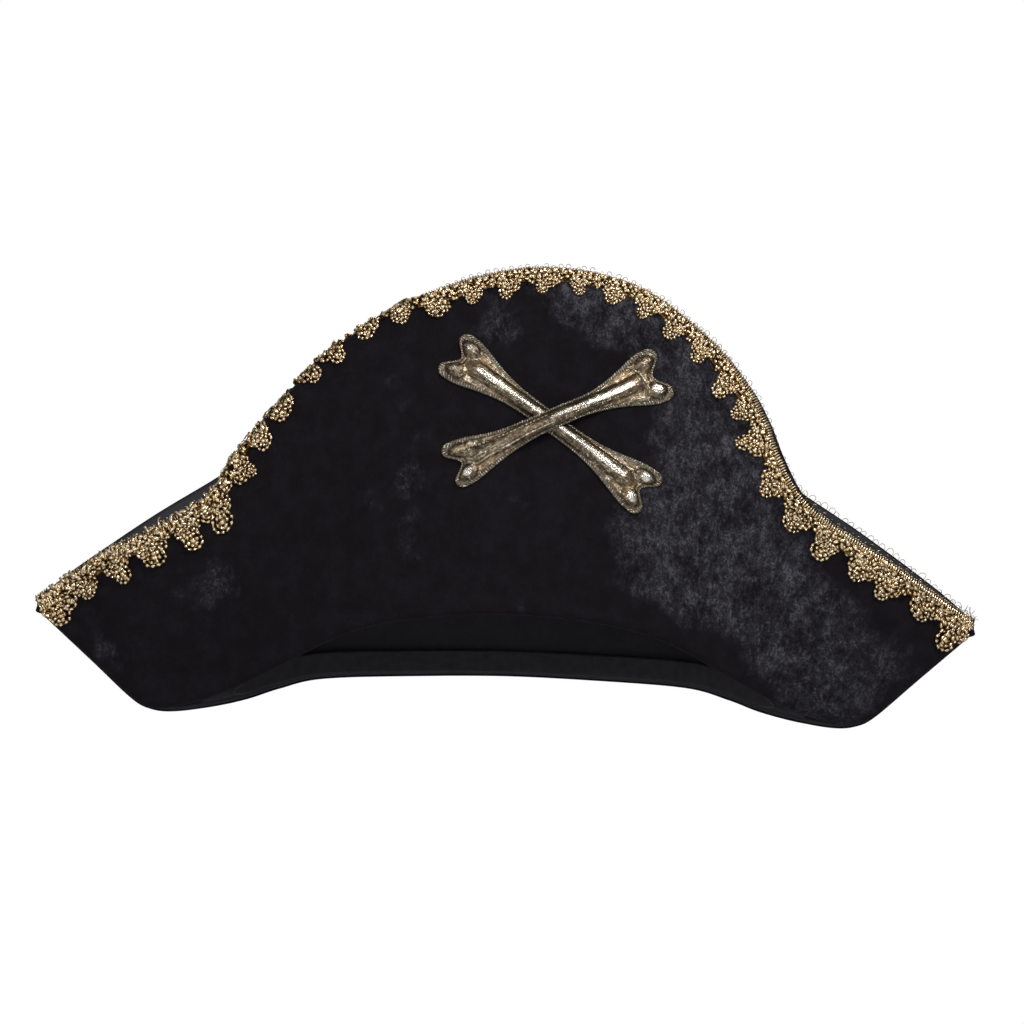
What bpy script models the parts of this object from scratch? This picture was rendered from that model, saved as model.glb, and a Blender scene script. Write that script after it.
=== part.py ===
"""Pirate hat: a soft bicorne with a front and a back brim panel, sewn together down both sides.

Each panel is crushed velvet over a foam core with a smooth lining. A cap of two walls and an oval
tip closes the hat over the head, and a ribbon covers the seam round the head opening. Gold braid with
hanging shells is sewn along the top edges, and two padded bones are crossed on the front panel.

Frame: metres, +Z up, the front of the hat faces -Y, and X runs from tip to tip. The origin is the
middle of the head opening, level with the middle of the front panel's lower edge (the brow line).
"""

import math

import bmesh
import bpy
import numpy as np

# Brim outline, as seen from the front.
TIP_HALF_SPAN = 0.210      # middle of the hat to a side tip
TIP_Z = 0.007              # upper end of the short edge at each tip
TIP_EDGE = 0.005           # height of that short edge
CORNER_HALF_SPAN = 0.159   # middle of the hat to a bottom corner
CORNER_Z = -0.0435
CORNER_ROUND = 0.010
ROUNDING_PULL = 0.29       # how near a rounded corner's middle stays to the sharp corner
FRONT_PEAK = (0.020, 0.1545)   # the crown of the front panel leans a little to the right
BACK_PEAK = (0.0, 0.150)
FRONT_EDGE_Z = 0.0         # middle of a panel's lower edge
BACK_EDGE_Z = -0.018

# Top edges: (share of the way from tip to peak, share of the rise from tip to peak).
FRONT_LEFT_EDGE = (
    (0.12, 0.12), (0.24, 0.21), (0.345, 0.31), (0.395, 0.43),
    (0.47, 0.575), (0.56, 0.73), (0.70, 0.875), (0.85, 0.97),
)
FRONT_RIGHT_EDGE = (
    (0.18, 0.135), (0.35, 0.26), (0.425, 0.345), (0.475, 0.46),
    (0.51, 0.57), (0.56, 0.68), (0.65, 0.81), (0.81, 0.95),
)
BACK_SIDE_EDGE = (
    (0.08, 0.11), (0.24, 0.295), (0.375, 0.435), (0.45, 0.53),
    (0.55, 0.675), (0.67, 0.835), (0.82, 0.96),
)
# Bottom edges: (share of the half span to the corner, share of the drop to the corner).
FRONT_ARCH = ((0.24, 0.05), (0.44, 0.20), (0.635, 0.53), (0.79, 0.78))
BACK_ARCH = ((0.30, 0.07), (0.53, 0.20), (0.65, 0.43), (0.74, 0.66), (0.85, 0.86))

# How far the panels stand out from the plane that they are sewn together in.
OPENING_HALF_WIDTH = 0.136
OPENING_HALF_DEPTH = 0.050     # to the inner face of a panel, in the middle
OPENING_SHARES = (0.1, 0.9)    # the opening lies between these shares of the lower edge
TOP_HALF_DEPTH = 0.046
TOP_BOW = 2.2                  # power of the bow along the top edge; a higher one is squarer
BELLY = 0.005
FRONT_FLANK_LEAN = 0.007       # the front panel's side flaps droop forward by this
FLANK_MIDDLE = 0.72            # share of the half span where they droop most
FLANK_REACH = 0.16

# Layers of a panel, from the inside out.
SEAM_GAP = 0.00015             # from each panel to the plane between them
LAYER_GAP = 0.0003
LINING = 0.0005
FOAM = 0.0030
VELVET = 0.0010
TURN_IN = 0.0015               # the foam and the lining stop this short of the velvet's edges
LEAST_FACING = 0.6             # a layer is never thickened along Y by more than one over this

# The cap and the ribbon round the head opening.
CAP_WALL = 0.0012
CAP_CLEARANCE = 0.0010
CAP_HALF_WIDTH = OPENING_HALF_WIDTH - 0.003
CAP_BOTTOM_ABOVE_EDGE = 0.002
CAP_TOP_Z = 0.096
CAP_LEAN = 1.3                 # power of the height with which the walls lean in
CAP_END_NARROWING = 1.6        # the pointed ends draw in by this many times the inset
TIP_OVAL_HALF_WIDTH = 0.092
TIP_OVAL_HALF_DEPTH = 0.040
TIP_OVAL_RISE = 0.009
RIBBON = 0.0008
RIBBON_HEIGHT = 0.010
RIBBON_ABOVE_EDGE = 0.001
RIBBON_HALF_WIDTH = OPENING_HALF_WIDTH - 0.014   # it turns round before the opening's pointed ends
RIBBON_CLEAR_AT = 0.12         # share of the cap's height where the ribbon clears the wall
RIBBON_BLEND = 0.6             # share of a turn's sine over which it passes from the front to the back

# Gold braid.
BRAID_HEADER = 0.0050
BRAID_LOOPS = 0.0025           # picot loops, standing above the panel's top edge
BRAID_SHELL = 0.0100           # how far a shell hangs below the header
SHELL_VALLEY = 0.15            # share of a shell's depth that is left between two shells
SHELL_FULLNESS = 0.5           # power of the shells' scallop; a lower one is rounder
BRAID_THICKNESS = 0.0020
SHELL_PITCH = 0.017
ROLLED_SHARE = 0.35            # the front braid is rolled this far over the crown's left edge
ROLLED_MIDDLE = -0.085
ROLLED_REACH = 0.038
BRAID_END_SHARE = 0.004        # share of the top edge that is left bare at each tip
EDGE_PROBE = 0.003             # share of the top edge on either side that gives its direction
BRAID_GAP = 0.0009             # between the braid and the velvet

# Crossed bones: middle (x, z) from the point below the peak where they cross, slope in degrees, half length,
# half width at the left and the right end.
BONES_BELOW_PEAK = 0.0690
BONE_GAP = 0.0006              # between a bone and the velvet, and between the bones
OVER_BONE = ((0.0006, 0.0009), 26.5, 0.0525, (0.0104, 0.0124))
UNDER_BONE = ((-0.0024, -0.0009), -34.8, 0.0548, (0.0112, 0.0108))
BONE_HALF_WAIST = 0.0043
BONE_WIDEST = 0.9              # share of the half length where an end reaches its full width
BONE_NOTCH = 0.0060            # depth of the notch between an end's two knobs
BONE_KNOB = 0.66               # share of the half width where a knob is longest
BONE_PUFF = 0.0030
BONE_COVER = 0.0006
BONE_FLAT_EDGE = 0.18          # share of the half width that lies flat and is stitched down
BONE_FLAT_END = 0.05           # share of the half length that does
PADDING_REACH = (0.9, 0.7)     # share of the half length and half width that the padding fills
CROSSING_REACH = 1.7           # half waists from the crossed bone where the upper bone lies full height
CROSSING_EASE = 0.014          # the distance over which it comes down again

# Facets.
PANEL_COLUMN_WIDTH = 0.0165    # measured along the lower edge
PANEL_ROWS = 6
CAP_COLUMNS, CAP_ROWS = 20, 4
TIP_RINGS = (1.0, 0.8, 0.55, 0.28, 0.0)
TIP_SEGMENTS = 32
RIBBON_SEGMENTS = 48
SHELL_COLUMNS, BRAID_ROWS = 4, 2
BONE_COLUMNS, BONE_ROWS = 20, 8
PADDING_COLUMNS, PADDING_ROWS = 18, 4

# Fitting.
NORMAL_REACH = 0.012           # share of the panel's length over which its slope is averaged
NEWTON_STEPS = 12
NEWTON_PROBE = 1e-4
MOST_STEP = (0.05, 0.2)        # in s and in t
S_RANGE = (0.001, 0.998)
T_RANGE = (-0.2, 1.3)          # a little past the panel's edges
LEAST_AREA = 1e-6
FIRST_GUESS_WIDTH = 2.6        # half spans that s is first taken to cover
ARCH_TOLERANCE = 0.002         # a point this far above an arch's middle is still part of it


def smooth_curve(points, steps=16):
    """Dense points on a Catmull-Rom curve that passes through the given points."""
    p = np.asarray(points, float)
    p = np.vstack([2 * p[0] - p[1], p, 2 * p[-1] - p[-2]])
    t = np.linspace(0, 1, steps, endpoint=False)[:, None]
    spans = [
        b + 0.5 * t * ((c - a) + (2 * a - 5 * b + 4 * c - d) * t + (3 * b - a - 3 * c + d) * t**2)
        for a, b, c, d in zip(p, p[1:], p[2:], p[3:])
    ]
    return np.vstack([*spans, p[-2]])


def at_share(curve, share):
    """The points at these shares of a dense curve's length. Past an end it stays at the end."""
    step = np.linalg.norm(np.diff(curve, axis=0), axis=1)
    length = np.concatenate([[0], np.cumsum(step)])
    wanted = np.clip(share, 0, 1) * length[-1]
    return np.stack([np.interp(wanted, length, curve[:, k]) for k in range(curve.shape[1])], axis=-1)


class Panel:
    """One brim panel as a height field: a point (x, z) of the outline, and its depth from the seam plane."""

    def __init__(self, side, peak, left_edge, right_edge, arch, edge_z, lean, rolled):
        self.side, self.arch, self.edge_z, self.lean, self.rolled = side, arch, edge_z, lean, rolled
        left, right = self.top_points(-1, peak, left_edge), self.top_points(1, peak, right_edge)
        self.top = smooth_curve(left + right[-2::-1])
        half = self.bottom_points()
        self.bottom = smooth_curve(half + [(-x, z) for x, z in half[-2::-1]])

    def top_points(self, hand, peak, edge):
        tip = (hand * TIP_HALF_SPAN, TIP_Z)
        shares = ((0, 0), *edge, (1, 1))
        return [(tip[0] + u * (peak[0] - tip[0]), tip[1] + v * (peak[1] - tip[1])) for u, v in shares]

    def bottom_points(self):
        """From the left tip down the side seam, round the corner and along the arch to its middle."""
        tip = np.array([-TIP_HALF_SPAN, TIP_Z - TIP_EDGE])
        corner = np.array([-CORNER_HALF_SPAN, CORNER_Z])
        drop = CORNER_Z - self.edge_z
        arch = [(-u * CORNER_HALF_SPAN, self.edge_z + v * drop) for u, v in reversed(self.arch)]
        up = (tip - corner) / np.linalg.norm(tip - corner)
        inwards = (np.array(arch[0]) - corner) / np.linalg.norm(np.array(arch[0]) - corner)
        rounding = [
            corner + up * CORNER_ROUND,
            corner + (up + inwards) * CORNER_ROUND * ROUNDING_PULL,
            corner + inwards * CORNER_ROUND,
        ]
        points = [tip, (tip + corner) / 2, *rounding, *arch, (0, self.edge_z)]
        return [tuple(float(c) for c in p) for p in points]

    def outline_point(self, s, t):
        """(x, z) at share s from the left tip to the right one, and t from the bottom edge to the top."""
        low, high = at_share(self.bottom, s), at_share(self.top, s)
        return low + (high - low) * t[..., None]

    def depth(self, s, t):
        """Distance of the panel's inner face from the seam plane."""
        low, high = at_share(self.bottom, s), at_share(self.top, s)
        across = np.abs(low[..., 0]) / OPENING_HALF_WIDTH
        in_opening = (across < 1) & (s > OPENING_SHARES[0]) & (s < OPENING_SHARES[1])
        below = np.where(in_opening, OPENING_HALF_DEPTH * (1 - across**2), 0)
        reach = np.clip(np.abs(high[..., 0]) / TIP_HALF_SPAN, 0, 1)
        flank = np.exp(-(((reach - FLANK_MIDDLE) / FLANK_REACH) ** 2))
        above = TOP_HALF_DEPTH * (1 - reach**TOP_BOW) + self.lean * flank
        middle = np.sin(np.pi * np.clip(s, 0, 1))
        return below + (above - below) * t + BELLY * middle * np.sin(np.pi * np.clip(t, 0, 1))

    def inner_face(self, s, t):
        flat = self.outline_point(s, t)
        y = self.side * (SEAM_GAP + self.depth(s, t))
        return np.stack([flat[..., 0], y, flat[..., 1]], axis=-1)

    def length(self, edge):
        return np.linalg.norm(np.diff(edge, axis=0), axis=1).sum()

    def inside_edges(self, u, v, margin):
        """(s, t) for shares u and v of a layer that stops this far inside the outline."""
        ends = margin / self.length(self.bottom)
        s = np.clip(u, ends, 1 - ends)
        edges = margin / np.linalg.norm(at_share(self.top, s) - at_share(self.bottom, s), axis=-1)
        return s, np.clip(v, edges, 1 - edges)

    def normal(self, s, t):
        """Unit normal that points away from the head."""
        s_low, s_high = np.clip(s - NORMAL_REACH, 0, 1), np.clip(s + NORMAL_REACH, 0, 1)
        along = self.inner_face(s_high, t) - self.inner_face(s_low, t)
        up = self.inner_face(s, t + NORMAL_REACH) - self.inner_face(s, t - NORMAL_REACH)
        n = np.cross(along, up)
        n /= np.linalg.norm(n, axis=-1, keepdims=True)
        return n * np.sign(n[..., 1:2]) * self.side

    def layer_point(self, s, t, out):
        """A point this far out of the inner face. It moves out along Y, so that the seams stay in line."""
        p = self.inner_face(s, t)
        facing = np.maximum(np.abs(self.normal(s, t)[..., 1]), LEAST_FACING)
        p[..., 1] += self.side * out / facing
        return p

    def locate(self, x, z, s, t):
        """The (s, t) whose outline point is (x, z), by Newton steps from a first guess."""
        h = NEWTON_PROBE
        most_s, most_t = MOST_STEP
        for _ in range(NEWTON_STEPS):
            here = self.outline_point(s, t)
            ds = (self.outline_point(s + h, t) - here) / h
            dt = (self.outline_point(s, t + h) - here) / h
            miss_x, miss_z = x - here[..., 0], z - here[..., 1]
            area = ds[..., 0] * dt[..., 1] - ds[..., 1] * dt[..., 0]
            area = np.where(np.abs(area) < LEAST_AREA, LEAST_AREA, area)
            step_s = (miss_x * dt[..., 1] - miss_z * dt[..., 0]) / area
            step_t = (ds[..., 0] * miss_z - ds[..., 1] * miss_x) / area
            s = np.clip(s + np.clip(step_s, -most_s, most_s), *S_RANGE)
            t = np.clip(t + np.clip(step_t, -most_t, most_t), *T_RANGE)
        return s, t


FRONT = Panel(
    -1, FRONT_PEAK, FRONT_LEFT_EDGE, FRONT_RIGHT_EDGE,
    FRONT_ARCH, FRONT_EDGE_Z, FRONT_FLANK_LEAN, ROLLED_SHARE,
)
BACK = Panel(1, BACK_PEAK, BACK_SIDE_EDGE, BACK_SIDE_EDGE, BACK_ARCH, BACK_EDGE_Z, 0.0, 0.0)
VELVET_FACE = LINING + LAYER_GAP + FOAM + LAYER_GAP + VELVET


def clear_scene():
    for obj in list(bpy.data.objects):
        bpy.data.objects.remove(obj)


def make_material(name, colour, roughness, metallic=0.0):
    material = bpy.data.materials.new(name)
    material.use_nodes = True
    shader = material.node_tree.nodes["Principled BSDF"]
    shader.inputs["Base Color"].default_value = (*colour, 1.0)
    shader.inputs["Roughness"].default_value = roughness
    shader.inputs["Metallic"].default_value = metallic
    return material


def add_object(name, bm, material, collection):
    bmesh.ops.recalc_face_normals(bm, faces=bm.faces)
    if bm.calc_volume(signed=True) < 0:
        bmesh.ops.reverse_faces(bm, faces=bm.faces)
    mesh = bpy.data.meshes.new(name)
    bm.to_mesh(mesh)
    bm.free()
    mesh.materials.append(material)
    obj = bpy.data.objects.new(name, mesh)
    collection.objects.link(obj)
    return obj


def thick_sheet(name, columns, rows, face, back_face, material, collection):
    """A closed sheet: a flat grid, extruded once, laid on face(u, v) and back_face(u, v)."""
    bm = bmesh.new()
    bmesh.ops.create_grid(bm, x_segments=columns, y_segments=rows, size=0.5)
    sheet = list(bm.verts)
    bm.verts.index_update()
    u = np.array([v.co.x + 0.5 for v in sheet])
    v = np.array([v.co.y + 0.5 for v in sheet])
    extruded = bmesh.ops.extrude_face_region(bm, geom=list(bm.faces))["geom"]
    lifted = [item for item in extruded if isinstance(item, bmesh.types.BMVert)]
    lifted_u = np.array([item.co.x + 0.5 for item in lifted])
    lifted_v = np.array([item.co.y + 0.5 for item in lifted])
    for vert, place in zip(sheet, face(u, v)):
        vert.co = place
    for vert, place in zip(lifted, back_face(lifted_u, lifted_v)):
        vert.co = place
    return add_object(name, bm, material, collection)


def brim_layer(name, panel, inside, outside, margin, material, collection):
    columns = round(panel.length(panel.bottom) / PANEL_COLUMN_WIDTH)
    return thick_sheet(
        name, columns, PANEL_ROWS,
        lambda u, v: panel.layer_point(*panel.inside_edges(u, v, margin), outside),
        lambda u, v: panel.layer_point(*panel.inside_edges(u, v, margin), inside),
        material, collection,
    )


def make_brim(word, panel, velvet, foam, lining, collection):
    foam_from = LINING + LAYER_GAP
    velvet_from = foam_from + FOAM + LAYER_GAP
    brim_layer(f"{word}_brim_lining", panel, 0.0, LINING, TURN_IN, lining, collection)
    brim_layer(f"{word}_brim_foam", panel, foam_from, foam_from + FOAM, TURN_IN, foam, collection)
    brim_layer(f"{word}_brim_velvet", panel, velvet_from, velvet_from + VELVET, 0.0, velvet, collection)


def edge_height(panel, x):
    """Height of a panel's lower edge at this x."""
    curve = panel.bottom
    arch = curve[np.abs(curve[:, 0]) < CORNER_HALF_SPAN - CORNER_ROUND]
    arch = arch[arch[:, 1] < panel.edge_z + ARCH_TOLERANCE]
    order = np.argsort(arch[:, 0])
    return np.interp(x, arch[order, 0], arch[order, 1])


def cap_section(share, inset):
    """Half width, half depth and end fullness of the cap at a share of its height, inside its outer face."""
    half_depth = OPENING_HALF_DEPTH - CAP_CLEARANCE
    ease = share**CAP_LEAN
    return (
        CAP_HALF_WIDTH + (TIP_OVAL_HALF_WIDTH - CAP_HALF_WIDTH) * ease - CAP_END_NARROWING * inset,
        half_depth + (TIP_OVAL_HALF_DEPTH - half_depth) * ease - inset,
        2 - share,
    )


def cap_wall_point(panel, u, v, inset):
    """From the pointed head opening at the bottom (v = 0) to the oval tip at the top (v = 1)."""
    half_width, half_depth, fullness = cap_section(v, inset)
    angle = math.pi * u
    x = -half_width * np.cos(angle)
    y = panel.side * (SEAM_GAP + half_depth * np.sin(angle) ** fullness)
    low = edge_height(panel, x) + CAP_BOTTOM_ABOVE_EDGE
    return np.stack([x, y, low + (CAP_TOP_Z - low) * v], axis=-1)


def make_cap(cloth, collection):
    for word, panel in (("front", FRONT), ("back", BACK)):
        thick_sheet(
            f"cap_{word}_wall", CAP_COLUMNS, CAP_ROWS,
            lambda u, v, p=panel: cap_wall_point(p, u, v, 0.0),
            lambda u, v, p=panel: cap_wall_point(p, u, v, CAP_WALL),
            cloth, collection,
        )
    profile = bmesh.new()
    rise = [(r, TIP_OVAL_RISE * (1 - r**2)) for r in TIP_RINGS]
    outer = [(r * TIP_OVAL_HALF_WIDTH, z + CAP_WALL) for r, z in rise]
    inner = [(r * TIP_OVAL_HALF_WIDTH, z) for r, z in reversed(rise)]
    corners = [profile.verts.new((r, 0, CAP_TOP_Z + LAYER_GAP + z)) for r, z in reversed(outer + inner)]
    for a, b in zip(corners, corners[1:] + corners[:1]):
        if a.co.x > 0 or b.co.x > 0:
            profile.edges.new((a, b))
    mesh = bpy.data.meshes.new("cap_tip")
    profile.to_mesh(mesh)
    profile.free()
    mesh.materials.append(cloth)
    tip = bpy.data.objects.new("cap_tip", mesh)
    collection.objects.link(tip)
    tip.scale.y = TIP_OVAL_HALF_DEPTH / TIP_OVAL_HALF_WIDTH
    screw = tip.modifiers.new("turn", "SCREW")
    screw.steps = screw.render_steps = TIP_SEGMENTS
    screw.use_merge_vertices = True
    screw.merge_threshold = 0.0001
    screw.use_normal_calculate = True


def make_ribbon(cloth, collection):
    """The narrow ribbon inside the cap, from one ring of a cylinder without caps."""
    bm = bmesh.new()
    bmesh.ops.create_cone(bm, cap_ends=False, segments=RIBBON_SEGMENTS, radius1=1, radius2=1, depth=2)
    half_depth = cap_section(RIBBON_CLEAR_AT, CAP_WALL + LAYER_GAP)[1] - LAYER_GAP
    for vert in bm.verts:
        angle = math.atan2(vert.co.y, vert.co.x)
        x, swing = RIBBON_HALF_WIDTH * math.cos(angle), math.sin(angle)
        front, back = (float(edge_height(panel, x)) for panel in (FRONT, BACK))
        backwards = min(max(0.5 + swing / RIBBON_BLEND, 0), 1)
        low = front + (back - front) * backwards + RIBBON_ABOVE_EDGE
        upper = vert.co.z > 0
        vert.co = (x, half_depth * swing * abs(swing), low + RIBBON_HEIGHT * upper)
    ribbon = add_object("sweatband", bm, cloth, collection)
    solidify = ribbon.modifiers.new("thickness", "SOLIDIFY")
    solidify.thickness = RIBBON
    solidify.offset = -1


def braid_point(panel, u, v, out):
    """v = 0 is the foot of the shells and v = 1 the top of the picot loops."""
    shells = max(round(panel.length(panel.top) / SHELL_PITCH), 1)
    hang = BRAID_SHELL * np.abs(np.sin(math.pi * shells * u)) ** SHELL_FULLNESS
    s = BRAID_END_SHARE + (1 - 2 * BRAID_END_SHARE) * u
    edge = at_share(panel.top, s)
    near_roll = np.exp(-(((edge[..., 0] - ROLLED_MIDDLE) / ROLLED_REACH) ** 4))
    depth = BRAID_HEADER + SHELL_VALLEY * BRAID_SHELL + (1 - SHELL_VALLEY) * hang
    low = -depth * (1 - panel.rolled * near_roll)
    high = BRAID_LOOPS * (1 - near_roll * (panel.rolled > 0))
    down = low + (high - low) * v
    ahead = at_share(panel.top, s + EDGE_PROBE) - at_share(panel.top, s - EDGE_PROBE)
    ahead /= np.linalg.norm(ahead, axis=-1, keepdims=True)
    x = edge[..., 0] - ahead[..., 1] * down
    z = edge[..., 1] + ahead[..., 0] * down
    s, t = panel.locate(x, z, s, np.ones_like(s))
    return panel.layer_point(s, t, out)


def make_braid(word, panel, gold, collection):
    columns = SHELL_COLUMNS * max(round(panel.length(panel.top) / SHELL_PITCH), 1)
    near = VELVET_FACE + BRAID_GAP
    thick_sheet(
        f"{word}_braid", columns, BRAID_ROWS,
        lambda u, v: braid_point(panel, u, v, near + BRAID_THICKNESS),
        lambda u, v: braid_point(panel, u, v, near),
        gold, collection,
    )


def bone_middle(bone):
    return FRONT_PEAK[0] + bone[0][0], FRONT_PEAK[1] - BONES_BELOW_PEAK + bone[0][1]


def bone_plan(bone, a, b):
    """Where share a of the length and b of the width lie, as (x, z) on the front panel. The width eases
    from the waist to the ends, and each end falls back in a notch between two round knobs."""
    middle_x, middle_z = bone_middle(bone)
    slope, half_length, ends = bone[1:]
    half_end = np.where(a < 0, *ends)
    wide = np.clip(np.abs(a) / BONE_WIDEST, 0, 1)
    across = b * (BONE_HALF_WAIST + (half_end - BONE_HALF_WAIST) * wide**4 * (5 - 4 * wide))
    inner = np.clip(1 - np.abs(b) / BONE_KNOB, 0, 1)
    outer = np.clip((np.abs(b) - BONE_KNOB) / (1 - BONE_KNOB), 0, 1)
    knob_radius = half_end * (1 - BONE_KNOB)
    back = BONE_NOTCH * inner**2 * (3 - 2 * inner) + knob_radius * (1 - np.sqrt(1 - outer**2))
    along = a * (half_length - back * np.abs(a) ** 8)
    turn = math.radians(slope)
    x = middle_x + along * math.cos(turn) - across * math.sin(turn)
    z = middle_z + along * math.sin(turn) + across * math.cos(turn)
    return x, z


def bone_hollow(a, b):
    """Height of the space under a bone's cover, from the flat stitched edge to the puffed middle."""
    round_across = np.clip(1 - (np.abs(b) / (1 - BONE_FLAT_EDGE)) ** 2, 0, 1)
    round_along = np.clip(1 - (np.abs(a) / (1 - BONE_FLAT_END)) ** 8, 0, 1)
    return BONE_PUFF * np.sqrt(round_across) * round_along


def bone_point(bone, crossed, a, b, height):
    """A point this far above the velvet. Where a bone crosses another, it climbs over it."""
    x, z = bone_plan(bone, a, b)
    s, t = FRONT.locate(x, z, 0.5 + x / (FIRST_GUESS_WIDTH * TIP_HALF_SPAN), z / FRONT_PEAK[1])
    lift = np.zeros_like(x)
    if crossed:
        middle_x, middle_z = bone_middle(crossed)
        turn = math.radians(crossed[1])
        away = np.abs((z - middle_z) * math.cos(turn) - (x - middle_x) * math.sin(turn))
        near = 1 - np.clip((away - CROSSING_REACH * BONE_HALF_WAIST) / CROSSING_EASE, 0, 1)
        lift = (BONE_PUFF + BONE_COVER + BONE_GAP) * near**2 * (3 - 2 * near)
    face = FRONT.layer_point(s, t, VELVET_FACE + BONE_GAP)
    return face + FRONT.normal(s, t) * (lift + height)[..., None]


def make_bone(word, bone, crossed, lame, wadding, collection):
    def cover(u, v, extra):
        a, b = 2 * u - 1, 2 * v - 1
        return bone_point(bone, crossed, a, b, bone_hollow(a, b) + extra)

    def padding(u, v, top):
        a, b = PADDING_REACH[0] * (2 * u - 1), PADDING_REACH[1] * (2 * v - 1)
        fill = np.maximum(bone_hollow(a, b) - 2 * LAYER_GAP, LAYER_GAP)
        return bone_point(bone, crossed, a, b, fill if top else 0 * fill)

    thick_sheet(
        f"{word}_bone_cover", BONE_COLUMNS, BONE_ROWS,
        lambda u, v: cover(u, v, BONE_COVER),
        lambda u, v: cover(u, v, 0.0),
        lame, collection,
    )
    thick_sheet(
        f"{word}_bone_padding", PADDING_COLUMNS, PADDING_ROWS,
        lambda u, v: padding(u, v, True),
        lambda u, v: padding(u, v, False),
        wadding, collection,
    )


def main():
    clear_scene()
    hat = bpy.data.collections.new("pirate_hat")
    bpy.context.scene.collection.children.link(hat)
    velvet = make_material("crushed_velvet", (0.012, 0.012, 0.015), 0.75)
    foam = make_material("foam", (0.05, 0.05, 0.05), 0.95)
    lining = make_material("lining", (0.015, 0.015, 0.018), 0.6)
    cloth = make_material("cap_cloth", (0.014, 0.014, 0.017), 0.7)
    ribbon = make_material("ribbon", (0.02, 0.02, 0.022), 0.55)
    gold = make_material("gold_braid", (0.62, 0.46, 0.20), 0.35, 1.0)
    lame = make_material("gold_lame", (0.60, 0.54, 0.40), 0.25, 1.0)
    wadding = make_material("wadding", (0.8, 0.78, 0.72), 0.95)
    make_brim("front", FRONT, velvet, foam, lining, hat)
    make_brim("back", BACK, velvet, foam, lining, hat)
    make_cap(cloth, hat)
    make_ribbon(ribbon, hat)
    make_braid("front", FRONT, gold, hat)
    make_braid("back", BACK, gold, hat)
    make_bone("under", UNDER_BONE, None, lame, wadding, hat)
    make_bone("over", OVER_BONE, UNDER_BONE, lame, wadding, hat)


main()
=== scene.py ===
"""Pirate hat: the looks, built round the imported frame.

Metres, +Z up. The front faces -Y and X runs from tip to tip. The file follows the hat as it is made: the brim
panels, the cap, the ribbon, the braid and the padded bones.
"""

import math

import bmesh
import bpy
import numpy as np
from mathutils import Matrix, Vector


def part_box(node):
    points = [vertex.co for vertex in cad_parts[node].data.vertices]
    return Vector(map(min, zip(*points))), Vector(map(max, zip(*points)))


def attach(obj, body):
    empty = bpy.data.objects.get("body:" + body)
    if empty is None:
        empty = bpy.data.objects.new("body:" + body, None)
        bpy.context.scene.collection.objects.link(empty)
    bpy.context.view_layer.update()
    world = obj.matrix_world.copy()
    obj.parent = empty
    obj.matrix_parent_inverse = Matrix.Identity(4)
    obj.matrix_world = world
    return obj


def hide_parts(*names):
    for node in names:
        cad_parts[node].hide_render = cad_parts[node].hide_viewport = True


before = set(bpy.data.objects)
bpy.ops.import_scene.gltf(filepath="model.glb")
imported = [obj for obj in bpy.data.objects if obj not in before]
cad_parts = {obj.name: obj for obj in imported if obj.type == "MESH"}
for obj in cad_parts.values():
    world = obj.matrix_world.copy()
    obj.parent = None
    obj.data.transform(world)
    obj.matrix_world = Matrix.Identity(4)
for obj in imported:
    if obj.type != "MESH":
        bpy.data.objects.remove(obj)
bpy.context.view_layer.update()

# ---------------------------------------------------------------------------------------------------------
# Studio. The camera stands two metres off, a little lower than the brow and looking up, and is rolled by a
# degree and a half. The floor is far below the hat, which a head would hold up, and is clear from beneath.
CAMERA_DISTANCE = 2.0
CAMERA_BELOW = math.radians(7.0)
CAMERA_ROLL = math.radians(1.45)
CAMERA_AIM = np.array((0.0017, 0.0, 0.0517))
CAMERA_LENS = 155.7
FLOOR_Z = -0.60

camera_data = bpy.data.cameras.new("camera")
camera_data.lens = CAMERA_LENS
camera_data.sensor_width = 36.0
camera_data.clip_start = 0.05
camera = bpy.data.objects.new("camera", camera_data)
bpy.context.scene.collection.objects.link(camera)
look = np.array((0.0, math.cos(CAMERA_BELOW), math.sin(CAMERA_BELOW)))
level_up = np.array((0.0, -math.sin(CAMERA_BELOW), math.cos(CAMERA_BELOW)))
level_right = np.array((1.0, 0.0, 0.0))
turn, lift = math.cos(CAMERA_ROLL), math.sin(CAMERA_ROLL)
right, up = level_right * turn + level_up * lift, level_up * turn - level_right * lift
place = np.eye(4)
place[:3, 0], place[:3, 1], place[:3, 2] = right, up, -look
place[:3, 3] = CAMERA_AIM - look * CAMERA_DISTANCE
camera.matrix_world = place.T.tolist()
bpy.context.scene.camera = camera
bpy.context.scene.view_settings.view_transform = "Standard"


def soft_light(name, place, aim, size, watts, colour=(1, 1, 1)):
    """A square area light at place, turned to face aim."""
    data = bpy.data.lights.new(name, "AREA")
    data.size, data.energy, data.color = size, watts, colour
    light = bpy.data.objects.new(name, data)
    bpy.context.scene.collection.objects.link(light)
    back = np.subtract(place, aim)
    back = back / np.linalg.norm(back)
    side = np.cross((0.0, 0.0, 1.0), back)
    side = side / np.linalg.norm(side)
    basis = np.eye(4)
    basis[:3, 0], basis[:3, 1], basis[:3, 2], basis[:3, 3] = side, np.cross(back, side), back, place
    light.matrix_world = basis.T.tolist()
    return light


HAT_MIDDLE = (0.0, 0.0, 0.05)
soft_light("key", (0.85, -1.55, 1.35), HAT_MIDDLE, 0.45, 24.0)
soft_light("front", (-0.05, -1.95, 0.38), HAT_MIDDLE, 0.20, 8.0)
soft_light("fill", (-1.5, -1.3, 0.35), HAT_MIDDLE, 1.1, 6.0)
soft_light("back", (0.2, 1.6, 1.2), HAT_MIDDLE, 1.2, 16.0)
soft_light("low", (0.3, -1.2, -0.45), HAT_MIDDLE, 0.8, 2.0)

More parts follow.
